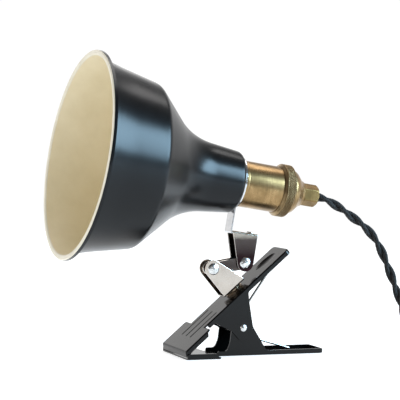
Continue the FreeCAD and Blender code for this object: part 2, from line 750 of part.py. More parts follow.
def knurled_ring():
    """Knurled clamping ring over the joint of barrel and cap, with a plain shoulder each side."""
    inner = shell_radius + run_gap
    front, back = ring_front, ring_back
    return in_head(turned([(front, inner), (front, inner + 0.55), (front + 1.6, inner + 0.9),
                           (front + 2.2, ring_radius), (back - 1.2, ring_radius), (back - 0.4, inner + 0.9),
                           (back, inner + 0.6), (back, inner)],
                          [0, 0.2, 0.3, 0.6, 0.6, 0.2, 0.2, 0]))


def socket_cap():
    """Domed cap behind the ring, drawn in to a collar for the cord grip."""
    r, wall = shell_radius, 1.0
    front = ring_front + 4.2
    line = [(front, r - wall / 2), (ring_back + 1.0, r - wall / 2), (ring_back + 4.3, r - 2.3),
            (cap_back - 1.3, collar_radius + 0.4), (grip_front - 0.1, collar_radius - wall / 2 - 0.2)]
    face = strip_face(line, [1.5, 4.5, 2.0], wall, on_xz)
    shell = face.revolve(V(0, 0, 0), V(1, 0, 0), 360)
    end = turned([(grip_front - 1.6, 5.2), (grip_front - 0.1, 5.2), (grip_front - 0.1, collar_radius - 0.4),
                  (grip_front - 1.6, collar_radius - 0.4)])
    return in_head(fused([shell, end]))


def cord_grip():
    """Hexagonal grip: a spigot into the cap, a hexagon, and a bore for the cord."""
    across_corners = hex_flats / math.cos(math.radians(30))
    points = [(across_corners / 2 * math.cos(math.radians(60 * i + 30)), across_corners / 2 * math.sin(math.radians(60 * i + 30)))
              for i in range(6)]
    hexagon = Part.Face(Part.makePolygon([on_yz(a, b) for a, b in points + points[:1]]))
    hexagon.translate(V(grip_front, 0, 0))
    body = hexagon.extrude(V(grip_back - grip_front, 0, 0))
    r = across_corners / 2
    chamfer = turned([(grip_front, 0), (grip_front, r - 1.1), (grip_front + 0.8, r + 0.1), (grip_back - 1.2, r + 0.1),
                      (grip_back, r - 1.9), (grip_back, 0)])
    body = body.common(chamfer)
    spigot = Part.makeCylinder(5.1, 6.5, V(grip_front - 6.5, 0, 0), V(1, 0, 0))
    bore = Part.makeCylinder(cord_diameter / 2 + cord_room, 40, V(grip_front - 10, 0, 0), V(1, 0, 0))
    mouth = turned([(grip_back - 1.5, 0), (grip_back - 1.5, cord_diameter / 2 + cord_room),
                    (grip_back + 1, cord_diameter / 2 + cord_room + 1.2), (grip_back + 1, 0)])
    return in_head(fused([body, spigot]).cut([bore, mouth]))


def grip_nut():
    """Nut inside the cap on the grip's spigot."""
    back = grip_front - 1.7
    nut = Part.makeCylinder(8.0, 2.6, V(back - 2.6, 0, 0), V(1, 0, 0))
    return in_head(nut.cut(Part.makeCylinder(5.15, 5, V(back - 4, 0, 0), V(1, 0, 0))))


# ---- cord ----
def cord_path(points, name):
    """Straight runs joined by tangent arcs, each as large as its two runs allow."""
    points = [V(*p) for p in points]
    edges = []
    radii = []
    here = points[0]
    for i in range(1, len(points) - 1):
        a, b, c = points[i - 1], points[i], points[i + 1]
        run = 0.45 * min(a.distanceToPoint(b), b.distanceToPoint(c))
        back = (a - b).normalize()
        ahead = (c - b).normalize()
        turn = math.pi - back.getAngle(ahead)
        radius = run / math.tan(turn / 2)
        radii.append(round(radius, 1))
        start, end = b + back * run, b + ahead * run
        middle = (back + ahead).normalize()
        sag = radius / math.cos(turn / 2) - radius
        edges.append(Part.LineSegment(here, start).toShape())
        edges.append(Part.Arc(start, b + middle * sag, end).toShape())
        here = end
    edges.append(Part.LineSegment(here, points[-1]).toShape())
    print(name, "radii", radii)
    return Part.Wire(edges)


def tube(points, radius, name):
    wire_path = cord_path(points, name)
    start = V(*points[0])
    ahead = V(*points[1]) - start
    circle = Part.Wire(Part.makeCircle(radius, start, ahead))
    solid = wire_path.makePipeShell([circle], True, True)
    expected = math.pi * radius ** 2 * wire_path.Length
    print(name, "length", round(wire_path.Length, 1), "volume ratio", round(solid.Volume / expected, 4))
    return solid


def coil_base():
    return tie_thick + 0.1


def coil_height():
    return coil_layers * cord_diameter


def cord_tube():
    return tube(cord_route, cord_diameter / 2, "cord_tube")


def cord_coil():
    """Outer shape of the coil: three turns beside each other and two layers high."""
    half = coil_across * cord_diameter / 2
    inner, outer = coil_mean_radius - half, coil_mean_radius + half
    base = coil_base()
    top = base + coil_height()
    r = cord_diameter / 2 - 0.3
    face = rounded_face([(inner, base), (outer, base), (outer, top), (inner, top)], [r] * 4, on_xz)
    solid = face.revolve(V(0, 0, 0), V(0, 0, 1), 360)
    solid.translate(V(coil_x, coil_y, 0))
    return solid


def coil_tie():
    """Band round the turns of the coil."""
    half = coil_across * cord_diameter / 2 + 0.35
    base, top = coil_base() - 0.1, coil_base() + coil_height() + 0.1
    outer = rounded_face([(-half - tie_thick, base - tie_thick), (half + tie_thick, base - tie_thick),
                          (half + tie_thick, top + tie_thick), (-half - tie_thick, top + tie_thick)], [2.9] * 4, on_xz)
    inner = rounded_face([(-half, base), (half, base), (half, top), (-half, top)], [2.4] * 4, on_xz)
    band = outer.cut(inner).extrude(V(0, 7, 0))
    band.translate(V(coil_mean_radius, -3.5, 0))
    band.rotate(V(0, 0, 0), V(0, 0, 1), 35)
    band.translate(V(coil_x, coil_y, 0))
    return band


def at_coil(point):
    return (point[0] + coil_x, point[1] + coil_y, point[2])


def cord_tail():
    return tube([at_coil(p) for p in tail_route], cord_diameter / 2, "cord_tail")


def plug_frame():
    """Frame of the plug: x along it from the end of the cord's tail."""
    end = V(*at_coil(tail_route[-1]))
    before = V(*at_coil(tail_route[-2]))
    ahead = end - before
    ahead.z = 0
    angle = math.degrees(math.atan2(ahead.y, ahead.x))
    return FreeCAD.Placement(end, FreeCAD.Rotation(V(0, 0, 1), angle))


def plug_body():
    """Moulded plug with a ribbed, tapered relief."""
    relief = turned([(0, 0), (0, cord_diameter / 2 + 0.5), (relief_length, 5.2), (relief_length, 0)])
    block = box(relief_length - 1, relief_length + plug_length, -plug_width / 2, plug_width / 2,
                -plug_thick / 2, plug_thick / 2)
    block = block.makeFillet(2.5, [e for e in block.Edges if e.BoundBox.XLength > 5])
    back = [e for e in block.Edges if e.BoundBox.XMax < relief_length]
    block = block.makeFillet(2.0, back)
    for x in (3.0, 6.0, 9.0):
        cut = turned([(x, 4.0), (x + 1.2, 4.0), (x + 1.2, 9), (x, 9)])
        relief = relief.cut(cut)
    body = fused([relief, block])
    for side in (-1, 1):
        y = side * blade_pitch / 2
        body = body.cut(box(relief_length + plug_length - 6, relief_length + plug_length + 1, y - blade_thick / 2 - 0.02,
                            y + blade_thick / 2 + 0.02, -blade_width / 2 - 0.02, blade_width / 2 + 0.02))
    body.Placement = plug_frame().multiply(body.Placement)
    return body


def plug_blades():
    start = relief_length + plug_length - 6
    end = relief_length + plug_length + blade_length
    blades = []
    for side in (-1, 1):
        y = side * blade_pitch / 2
        blade = box(start, end, y - blade_thick / 2, y + blade_thick / 2, -blade_width / 2, blade_width / 2)
        blade = blade.makeFillet(0.5, [e for e in blade.Edges if e.BoundBox.XMin > end - 0.1])
        blades.append(blade.cut(Part.makeCylinder(1.5, 6, V(end - 4.5, y - 3, 0), Y_AXIS)))
    shape = Part.makeCompound(blades)
    shape.Placement = plug_frame().multiply(shape.Placement)
    return shape


def main():
    low, high = LOWER_PIVOT, UPPER_PIVOT
    print("lower pivot", low, "upper pivot", high, "head", HEAD_FRAME.Base)
    hung, tail = cord_tube(), cord_tail()
    nodes = {
        "lower_jaw": lower_jaw(), "upper_jaw": upper_jaw(), "pivot_pin": pivot_pin(),
        "clip_spring": clip_spring(), "swivel_washer": swivel_washer(), "spring_washer": spring_washer(),
        "bracket_washer": bracket_washer(), "swivel_rivet": swivel_rivet(), "lower_bracket": lower_bracket(),
        "lower_hinge_rivet": hinge_rivet(low), "lower_hinge_washers": hinge_washers(low),
        "lower_hinge_spacer": hinge_spacer(low), "link": link(), "upper_bracket": upper_bracket(),
        "upper_hinge_rivet": hinge_rivet(high), "upper_hinge_washers": hinge_washers(high),
        "upper_hinge_spacer": hinge_spacer(high), "strap_bracket": strap_bracket(), "strap_rivet": strap_rivet(),
        "shade": shade(), "shade_nut": shade_nut(), "socket_shell": socket_shell(),
        "porcelain_insert": porcelain_insert(), "screw_shell": screw_shell(), "centre_contact": centre_contact(),
        "terminal_screws": terminal_screws(), "knurled_ring": knurled_ring(), "socket_cap": socket_cap(),
        "cord_grip": cord_grip(), "grip_nut": grip_nut(), "cord_tube": hung,
        "cord_coil": cord_coil().cut(hung).cut(tail), "coil_tie": coil_tie(), "cord_tail": tail,
        "plug_body": plug_body(), "plug_blades": plug_blades(),
    }
    for name, shape in nodes.items():
        shape.exportStep("parts/" + name + ".step")


main()
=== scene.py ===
"""Finishes of a clip on reading lamp: spun shade, brass lamp holder, knuckle, sprung clip and cloth cord."""

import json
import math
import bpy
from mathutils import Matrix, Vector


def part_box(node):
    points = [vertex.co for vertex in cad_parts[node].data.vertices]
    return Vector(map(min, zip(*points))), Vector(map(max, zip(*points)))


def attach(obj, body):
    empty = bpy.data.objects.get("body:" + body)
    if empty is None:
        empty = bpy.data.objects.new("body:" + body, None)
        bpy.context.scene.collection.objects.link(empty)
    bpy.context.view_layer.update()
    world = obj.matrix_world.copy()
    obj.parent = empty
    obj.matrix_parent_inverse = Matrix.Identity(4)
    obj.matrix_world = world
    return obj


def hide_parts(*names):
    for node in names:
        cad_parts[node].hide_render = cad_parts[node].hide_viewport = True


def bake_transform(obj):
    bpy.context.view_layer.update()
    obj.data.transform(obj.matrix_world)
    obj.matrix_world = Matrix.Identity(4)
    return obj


bl_info = {
    "name": "Clip On Reading Lamp",
    "version": (1, 0, 0),
    "blender": (4, 5, 0),
    "location": "View3D > Sidebar > Lamp",
    "description": "Builds the pieces and finishes of a clip on reading lamp over its frame",
    "category": "Object",
}

import bmesh
import bpy
import numpy as np
from mathutils import Matrix

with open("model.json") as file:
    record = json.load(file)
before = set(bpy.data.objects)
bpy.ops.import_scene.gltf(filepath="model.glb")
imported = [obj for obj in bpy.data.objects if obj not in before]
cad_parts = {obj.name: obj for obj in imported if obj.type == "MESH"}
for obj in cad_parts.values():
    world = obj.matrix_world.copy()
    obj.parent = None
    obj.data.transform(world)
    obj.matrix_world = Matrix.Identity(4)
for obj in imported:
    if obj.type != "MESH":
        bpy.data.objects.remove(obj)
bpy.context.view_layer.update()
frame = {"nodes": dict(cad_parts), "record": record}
NODES = frame["nodes"]
RECORD = frame["record"]
MOUNTS = {mount["name"]: mount for mount in RECORD["mounts"]}
JOINTS = {joint["name"]: joint for joint in RECORD["behaviour"]["joints"]}

MM = 0.001
# The lamp's axis runs from the rim, at 0, to the back, and the holder's seat is on it, in millimetres from the rim.
SEAT = 153.25
BACK = -np.array(MOUNTS["lamp_socket"]["axis"], float)
BACK /= np.linalg.norm(BACK)
RIM = np.array(MOUNTS["lamp_socket"]["pos_m"], float) - SEAT * MM * BACK
ACROSS = np.array([0.0, 1.0, 0.0])
RISE = np.cross(BACK, ACROSS)
PIN = np.array(JOINTS["clip_hinge"]["pos_m"], float)
SWIVEL = np.array(JOINTS["swivel"]["axis"], float)
LOW = np.array(JOINTS["lower_knuckle"]["pos_m"], float)
HIGH = np.array(JOINTS["upper_knuckle"]["pos_m"], float)


# ---- meshes ----
def circle(count):
    """Angles of evenly spaced points round a full turn."""
    return np.linspace(0, 2 * math.pi, count, endpoint=False)


def unit(vectors):
    """The same vectors with a length of 1."""
    vectors = np.asarray(vectors, float)
    return vectors / np.linalg.norm(vectors, axis=-1, keepdims=True)


def directions(line):
    """Unit directions along a line of points."""
    return unit(np.gradient(line, axis=0))


def square_to(vectors, ahead):
    """Unit vectors of what is left of the vectors once their part along the directions is taken away."""
    return unit(vectors - np.sum(vectors * ahead, axis=1)[:, None] * ahead)


def tube(line, side, other, radius, around):
    """Rings round a line: line + radius (side cos + other sin) of the angles around."""
    out = np.cos(around)[None, :, None] * side[:, None] + np.sin(around)[None, :, None] * other[:, None]
    return line[:, None] + radius * out


def add_mesh(name, points, faces, uv=None, materials=(), index=None, sharp=35.0, groove=None):
    """A mesh object from an array of points and an array of quads, with doubles merged and faces outwards.

    groove is a number for each point, from 0 on the crests to 1 in the grooves, which a finish can read."""
    mesh = bpy.data.meshes.new(name)
    mesh.from_pydata(np.asarray(points, float), [], np.asarray(faces, int))
    if uv is not None:
        layer = mesh.uv_layers.new(name="UVMap")
        layer.data.foreach_set("uv", np.asarray(uv, np.float32).ravel())
    for material in materials:
        mesh.materials.append(material)
    if groove is not None:
        values = mesh.attributes.new("groove", "FLOAT", "POINT").data
        values.foreach_set("value", np.asarray(groove, np.float32).ravel())
    if index is not None:
        mesh.polygons.foreach_set("material_index", np.asarray(index, np.int32).ravel())
    work = bmesh.new()
    work.from_mesh(mesh)
    bmesh.ops.remove_doubles(work, verts=work.verts, dist=1e-6)
    bmesh.ops.dissolve_degenerate(work, edges=work.edges, dist=1e-7)
    bmesh.ops.recalc_face_normals(work, faces=work.faces)
    work.to_mesh(mesh)
    work.free()
    mesh.shade_smooth()
    mesh.set_sharp_from_angle(angle=math.radians(sharp))
    piece = bpy.data.objects.new(name, mesh)
    bpy.context.scene.collection.objects.link(piece)
    return piece


def grid_faces(rows, columns, round_rows=False, round_columns=False):
    """Quads of a grid of points and the UVs of their corners, each from 0 to 1; a round direction closes on itself."""
    i = np.arange(rows if round_rows else rows - 1)
    j = np.arange(columns if round_columns else columns - 1)
    i, j = np.meshgrid(i, j, indexing="ij")
    i, j = i.ravel(), j.ravel()
    ahead, beside = (i + 1) % rows, (j + 1) % columns
    faces = np.stack([i * columns + j, i * columns + beside, ahead * columns + beside, ahead * columns + j], axis=1)
    du, dv = 1.0 / (rows if round_rows else rows - 1), 1.0 / (columns if round_columns else columns - 1)
    uv = np.stack([np.stack([i * du, j * dv], 1), np.stack([i * du, (j + 1) * dv], 1),
                   np.stack([(i + 1) * du, (j + 1) * dv], 1), np.stack([(i + 1) * du, j * dv], 1)], axis=1)
    return faces, uv


def surface(name, points, round_rows=False, round_columns=False, materials=(), index=None, sharp=35.0, groove=None):
    """A mesh object from a grid of points of shape (rows, columns, 3)."""
    points = np.asarray(points, float)
    faces, uv = grid_faces(points.shape[0], points.shape[1], round_rows, round_columns)
    return add_mesh(name, points.reshape(-1, 3), faces, uv, materials, index, sharp, groove)


def rounded(corners, radii, step=7.0, closed=False):
    """Polyline with a tangent arc at each corner: the arc starts radius / tan(half the corner's angle) before it."""
    corners = [np.array(c, float) for c in corners]
    count = len(corners)
    line = [] if closed else [corners[0]]
    for k in range(count) if closed else range(1, count - 1):
        before, here, after = corners[k - 1], corners[k], corners[(k + 1) % count]
        radius = radii[k] if closed else radii[k - 1]
        back, ahead = before - here, after - here
        back, ahead = unit(back), unit(ahead)
        turn = math.pi - math.acos(np.clip(back @ ahead, -1, 1))
        if radius <= 0 or turn < 1e-4:
            line.append(here)
            continue
        run = radius * math.tan(turn / 2)
        middle = here + unit(back + ahead) * radius / math.cos(turn / 2)
        first, last = here + back * run - middle, here + ahead * run - middle
        steps = max(2, int(math.degrees(turn) / step) + 1)
        t = np.linspace(0, 1, steps + 1)[:, None]
        arc = (first * np.sin((1 - t) * turn) + last * np.sin(t * turn)) / math.sin(turn)
        line.extend(middle + arc)
    if not closed:
        line.append(corners[-1])
    return np.array(line)


def strip_sides(line, thick):
    """The two sides of a strip along a polyline, each half the thickness off it along the normal."""
    ahead = directions(line)
    normal = np.stack([-ahead[:, 1], ahead[:, 0]], axis=1)
    return line + normal * thick / 2, line - normal * thick / 2


def head(s, r, angle):
    """Point of the head: s along its axis from the rim and r from the axis, in mm, and angle round it from the top."""
    s, r, angle = np.broadcast_arrays(s, r, angle)
    out = np.cos(angle)[..., None] * RISE + np.sin(angle)[..., None] * ACROSS
    return RIM + MM * (s[..., None] * BACK + r[..., None] * out)


def revolve_head(name, profile, count, closed=True, materials=(), index=None, sharp=35.0):
    """Profile of (s, r) points turned round the lamp's axis: rim + s along the axis + r (cos, sin) of the angle."""
    profile = np.asarray(profile, float)
    angle = circle(count)
    points = head(profile[:, :1], np.maximum(profile[:, 1:], 0), angle[None, :])
    if index is not None:
        index = np.repeat(np.asarray(index), count)
    return surface(name, points, closed, True, materials, index, sharp)


def revolve_line(name, profile, base, axis, count, materials=(), sharp=35.0):
    """Profile of (height, radius) points in mm turned round a line through base along axis."""
    axis = unit(axis)
    side = unit(np.cross(axis, [0.0, 0.0, 1.0] if abs(axis[2]) < 0.9 else [1.0, 0.0, 0.0]))
    other = np.cross(axis, side)
    profile = np.asarray(profile, float) * MM
    angle = circle(count)
    out = np.cos(angle)[:, None] * side + np.sin(angle)[:, None] * other
    points = np.asarray(base) + profile[:, None, :1] * axis + profile[:, None, 1:] * out[None]
    return surface(name, points, False, True, materials, None, sharp)


def place(piece, body, finish, *nodes):
    """The piece rides on a body and stands for its nodes, which are hidden; finish is not used."""
    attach(piece, body)
    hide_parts(*nodes)


# ---- materials ----
def linear(colour):
    """sRGB 0 to 255 as linear light with alpha."""
    c = np.clip(np.asarray(colour, float), 0, 255) / 255
    c = np.where(c <= 0.04045, c / 12.92, ((c + 0.055) / 1.055) ** 2.4)
    return (*[float(x) for x in c], 1.0)


def display(colour):
    """Linear light as sRGB 0 to 255, which linear undoes."""
    c = np.array(list(colour)[:3])
    return 255 * np.where(c <= 0.0031308, 12.92 * c, 1.055 * c ** (1 / 2.4) - 0.055)


def new_material(name):
    material = bpy.data.materials.new(name)
    material.use_nodes = True
    nodes, links = material.node_tree.nodes, material.node_tree.links
    return material, nodes, links, nodes["Principled BSDF"]


def add_node(nodes, kind, **values):
    made = nodes.new(kind)
    for key, value in values.items():
        setattr(made, key, value)
    return made


def object_coords(nodes, links, scale=(1, 1, 1), place=(0, 0, 0), turn=(0, 0, 0)):
    """Object coordinates through a Mapping node."""
    coords = add_node(nodes, "ShaderNodeTexCoord")
    mapping = add_node(nodes, "ShaderNodeMapping")
    mapping.inputs["Scale"].default_value = scale
    mapping.inputs["Location"].default_value = place
    mapping.inputs["Rotation"].default_value = turn
    links.new(coords.outputs["Object"], mapping.inputs["Vector"])
    return mapping.outputs["Vector"]


def noise(nodes, links, vector, scale, detail=3.0, rough=0.55, distortion=0.0):
    made = add_node(nodes, "ShaderNodeTexNoise")
    made.inputs["Scale"].default_value = scale
    made.inputs["Detail"].default_value = detail
    made.inputs["Roughness"].default_value = rough
    made.inputs["Distortion"].default_value = distortion
    links.new(vector, made.inputs["Vector"])
    return made.outputs["Fac"]


def to_range(nodes, links, value, low, high, start=0.3, end=0.7):
    made = add_node(nodes, "ShaderNodeMapRange", clamp=True)
    made.inputs["From Min"].default_value = start
    made.inputs["From Max"].default_value = end
    made.inputs["To Min"].default_value = low
    made.inputs["To Max"].default_value = high
    links.new(value, made.inputs["Value"])
    return made.outputs["Result"]


def blend(nodes, links, first, second, factor):
    """First value mixed with the second, by the factor."""
    made = add_node(nodes, "ShaderNodeMix", data_type="FLOAT")
    made.inputs["Factor"].default_value = factor
    links.new(first, made.inputs["A"])
    links.new(second, made.inputs["B"])
    return made.outputs["Result"]


def multiply(nodes, links, first, second, factor=1.0):
    """First colour multiplied by the second, by the factor; the colour sockets of a Mix node are 6, 7 and 2."""
    made = add_node(nodes, "ShaderNodeMix", data_type="RGBA", blend_type="MULTIPLY")
    made.inputs["Factor"].default_value = factor
    links.new(first, made.inputs[6])
    links.new(second, made.inputs[7])
    return made.outputs[2]


def ramp(nodes, links, value, stops):
    """Colour ramp through (place, sRGB colour) stops."""
    made = add_node(nodes, "ShaderNodeValToRGB")
    elements = made.color_ramp.elements
    while len(elements) < len(stops):
        elements.new(0.5)
    for element, (place, colour) in zip(elements, stops):
        element.position = place
        element.color = linear(colour)
    links.new(value, made.inputs["Fac"])
    return made.outputs["Color"]


def bump(nodes, links, shader, height, strength, distance, below=None):
    made = add_node(nodes, "ShaderNodeBump")
    made.inputs["Strength"].default_value = strength
    made.inputs["Distance"].default_value = distance
    links.new(height, made.inputs["Height"])
    if below is not None:
        links.new(below, made.inputs["Normal"])
    links.new(made.outputs["Normal"], shader.inputs["Normal"])
    return made.outputs["Normal"]


def enamel(name, light, dark, rough, tint=(1, 1, 1), specular=0.5, orange_peel=0.05, grain=420.0):
    """Stoved enamel: a little mottled in colour and gloss, with a fine orange peel."""
    material, nodes, links, shader = new_material(name)
    vector = object_coords(nodes, links)
    cloud = noise(nodes, links, vector, 45.0, 4.0)
    links.new(ramp(nodes, links, cloud, [(0.35, dark), (0.65, light)]), shader.inputs["Base Color"])
    fine = noise(nodes, links, vector, 900.0, 2.0)
    links.new(to_range(nodes, links, cloud, rough - 0.012, rough + 0.015), shader.inputs["Roughness"])
    shader.inputs["Specular IOR Level"].default_value = specular
    shader.inputs["Specular Tint"].default_value = (*tint, 1.0)
    peel = noise(nodes, links, vector, grain, 1.0)
    first = bump(nodes, links, shader, peel, orange_peel, 0.0004)
    bump(nodes, links, shader, fine, orange_peel * 0.4, 0.0001, first)
    return material


def brushed_metal(name, light, dark, rough, stretch, along=(0, 0, 0), patina=None, bump_strength=0.06, spread=0.08):
    """Metal with fine lines across one direction, cloudy gloss and, where given, darker patina in patches."""
    material, nodes, links, shader = new_material(name)
    plain = object_coords(nodes, links)
    lined = object_coords(nodes, links, stretch, turn=along)
    cloud = noise(nodes, links, plain, 60.0, 5.0, 0.6)
    lines = noise(nodes, links, lined, 1.0, 4.0, 0.6)
    mixed = blend(nodes, links, cloud, lines, 0.45)
    stops = [(0.34, dark), (0.62, light)]
    if patina:
        stops = [(0.26, patina)] + stops
    links.new(ramp(nodes, links, mixed, stops), shader.inputs["Base Color"])
    shader.inputs["Metallic"].default_value = 1.0
    links.new(to_range(nodes, links, mixed, rough - spread / 2, rough + spread), shader.inputs["Roughness"])
    bump(nodes, links, shader, lines, bump_strength, 0.0002)
    return material


def height_shaded_metal(name, stops, low, high, rough):
    """Polished metal with faint scratches whose colour follows the stops from low to high; the stops paint the light
    and shade that fall on the plated part.
    """
    material, nodes, links, shader = new_material(name)
    vector = object_coords(nodes, links)
    split = add_node(nodes, "ShaderNodeSeparateXYZ")
    links.new(vector, split.inputs["Vector"])
    wander = noise(nodes, links, vector, 90.0, 3.0)
    shift = add_node(nodes, "ShaderNodeMath", operation="MULTIPLY_ADD")
    links.new(wander, shift.inputs[0])
    shift.inputs[1].default_value = 0.006
    links.new(split.outputs["Z"], shift.inputs[2])
    height = to_range(nodes, links, shift.outputs["Value"], 0.0, 1.0, low + 0.003, high + 0.003)
    links.new(ramp(nodes, links, height, stops), shader.inputs["Base Color"])
    shader.inputs["Metallic"].default_value = 1.0
    scratches = noise(nodes, links, object_coords(nodes, links, (900, 60, 900)), 1.0, 3.0)
    links.new(to_range(nodes, links, wander, rough - 0.03, rough + 0.06), shader.inputs["Roughness"])
    bump(nodes, links, shader, scratches, 0.05, 0.0002)
    return material


def braided_cloth(name, light, dark, along, around):
    """Braided cotton sleeve on the piece's own UVs: two sets of diagonal yarns that pass over each other."""
    material, nodes, links, shader = new_material(name)
    coords = add_node(nodes, "ShaderNodeTexCoord")
    split = add_node(nodes, "ShaderNodeSeparateXYZ")
    links.new(coords.outputs["UV"], split.inputs["Vector"])
    waves = []
    for sign in (1.0, -1.0):
        first = add_node(nodes, "ShaderNodeMath", operation="MULTIPLY")
        links.new(split.outputs["X"], first.inputs[0])
        first.inputs[1].default_value = along * 2 * math.pi
        second = add_node(nodes, "ShaderNodeMath", operation="MULTIPLY_ADD")
        links.new(split.outputs["Y"], second.inputs[0])
        second.inputs[1].default_value = sign * around * 2 * math.pi
        links.new(first.outputs["Value"], second.inputs[2])
        wave = add_node(nodes, "ShaderNodeMath", operation="SINE")
        links.new(second.outputs["Value"], wave.inputs[0])
        waves.append(wave.outputs["Value"])
    over = add_node(nodes, "ShaderNodeMath", operation="MAXIMUM")
    links.new(waves[0], over.inputs[0])
    links.new(waves[1], over.inputs[1])
    yarn = to_range(nodes, links, over.outputs["Value"], 0.0, 1.0, -0.6, 1.0)
    links.new(ramp(nodes, links, yarn, [(0.15, dark), (0.95, light)]), shader.inputs["Base Color"])
    fuzz = noise(nodes, links, coords.outputs["Object"], 2500.0, 2.0)
    shader.inputs["Roughness"].default_value = 0.82
    shader.inputs["Specular IOR Level"].default_value = 0.3
    shader.inputs["Sheen Weight"].default_value = 0.04
    shader.inputs["Sheen Roughness"].default_value = 0.5
    first = bump(nodes, links, shader, yarn, 0.6, 0.0003)
    bump(nodes, links, shader, fuzz, 0.35, 0.0001, first)
    return material


def moulded_plastic(name, light, dark, rough):
    """Moulded plastic with a fine spark eroded grain."""
    material, nodes, links, shader = new_material(name)
    vector = object_coords(nodes, links)
    cloud = noise(nodes, links, vector, 110.0, 3.0)
    links.new(ramp(nodes, links, cloud, [(0.35, dark), (0.65, light)]), shader.inputs["Base Color"])
    links.new(to_range(nodes, links, cloud, rough - 0.04, rough + 0.06), shader.inputs["Roughness"])
    grain = add_node(nodes, "ShaderNodeTexVoronoi")
    grain.inputs["Scale"].default_value = 2200.0
    links.new(vector, grain.inputs["Vector"])
    bump(nodes, links, shader, grain.outputs["Distance"], 0.15, 0.0001)
    return material


def glazed_porcelain():
    """White glazed porcelain with faint specks and a slow waviness."""
    material, nodes, links, shader = new_material("glazed_porcelain")
    vector = object_coords(nodes, links)
    specks = noise(nodes, links, vector, 1400.0, 2.0)
    glaze = ramp(nodes, links, specks, [(0.24, (150, 140, 120)), (0.34, (232, 228, 218))])
    links.new(glaze, shader.inputs["Base Color"])
    waves = noise(nodes, links, vector, 160.0, 2.0)
    links.new(to_range(nodes, links, waves, 0.12, 0.2), shader.inputs["Roughness"])
    shader.inputs["Coat Weight"].default_value = 0.5
    bump(nodes, links, shader, waves, 0.08, 0.0005)
    return material


# ---- sizes and colours a user may change ----
class LampShadeSettings(bpy.types.PropertyGroup):
    outside: bpy.props.FloatVectorProperty(name="Outside", description="Enamel outside the shade", subtype="COLOR",
                                           size=3, min=0, max=1, default=linear((9, 9, 10))[:3])
    inside: bpy.props.FloatVectorProperty(name="Inside", description="Enamel inside the shade", subtype="COLOR",
                                          size=3, min=0, max=1, default=linear((228, 216, 184))[:3])
    wall: bpy.props.FloatProperty(name="Wall", description="Thickness of the spun steel", unit="LENGTH",
                                  default=0.0008, min=0.0004, max=0.002, precision=4)
    facets: bpy.props.IntProperty(name="Facets", description="Faces round the shade", default=192, min=48, max=360)


class LampHolderSettings(bpy.types.PropertyGroup):
    knurls: bpy.props.IntProperty(name="Knurls", description="Diamonds round the clamping ring", default=84,
                                  min=24, max=160)
    knurl_depth: bpy.props.FloatProperty(name="Knurl depth", description="Depth of the diamonds", unit="LENGTH",
                                         default=0.0006, min=0.0, max=0.001, precision=5)
    threads: bpy.props.FloatProperty(name="Thread pitch", description="Pitch of the screw shell's rolled thread",
                                     unit="LENGTH", default=0.00363, min=0.001, max=0.006, precision=5)


class LampClipSettings(bpy.types.PropertyGroup):
    spring_turns: bpy.props.IntProperty(name="Spring turns", description="Close turns of the clip's spring", default=9,
                                        min=3, max=12)
    spring_wire: bpy.props.FloatProperty(name="Spring wire", description="Diameter of the spring's wire", unit="LENGTH",
                                         default=0.002, min=0.001, max=0.003, precision=4)
    edge: bpy.props.FloatProperty(name="Edge", description="Width of the worn edges of pressed parts", unit="LENGTH",
                                  default=0.0002, min=0.0, max=0.001, precision=5)


class LampCordSettings(bpy.types.PropertyGroup):
    strand: bpy.props.FloatProperty(name="Strand", description="Diameter of each of the two cores in its sleeve",
                                    unit="LENGTH", default=0.0040, min=0.002, max=0.005, precision=5)
    pitch: bpy.props.FloatProperty(name="Twist", description="Length of one full twist of the pair", unit="LENGTH",
                                   default=0.040, min=0.015, max=0.1, precision=4)
    cloth: bpy.props.FloatVectorProperty(name="Cloth", description="Light yarns of the sleeve", subtype="COLOR", size=3,
                                         min=0, max=1, default=linear((40, 39, 39))[:3])


class LampStageSettings(bpy.types.PropertyGroup):
    focal: bpy.props.FloatProperty(name="Focal length", description="Camera's focal length on a 36 mm sensor",
                                   unit="CAMERA", default=137.556, min=35, max=300)
    key: bpy.props.FloatProperty(name="Key light", description="Strength of the large softbox", unit="POWER",
                                 default=44.0, min=0, max=200)
    floor_size: bpy.props.FloatProperty(name="Floor", description="Side of the floor", unit="LENGTH", default=3.4,
                                        min=2, max=40)


# ---- stage ----
LAMP_MIDDLE = np.array([-0.02, 0.0, 0.11])
CAMERA_PLACE = (-0.49299, -1.16937, 0.17260)
CAMERA_BACK = (-0.36451535, -0.93051615, 0.03561253)
CAMERA_UP = (-0.00609524, 0.04062721, 0.99915578)


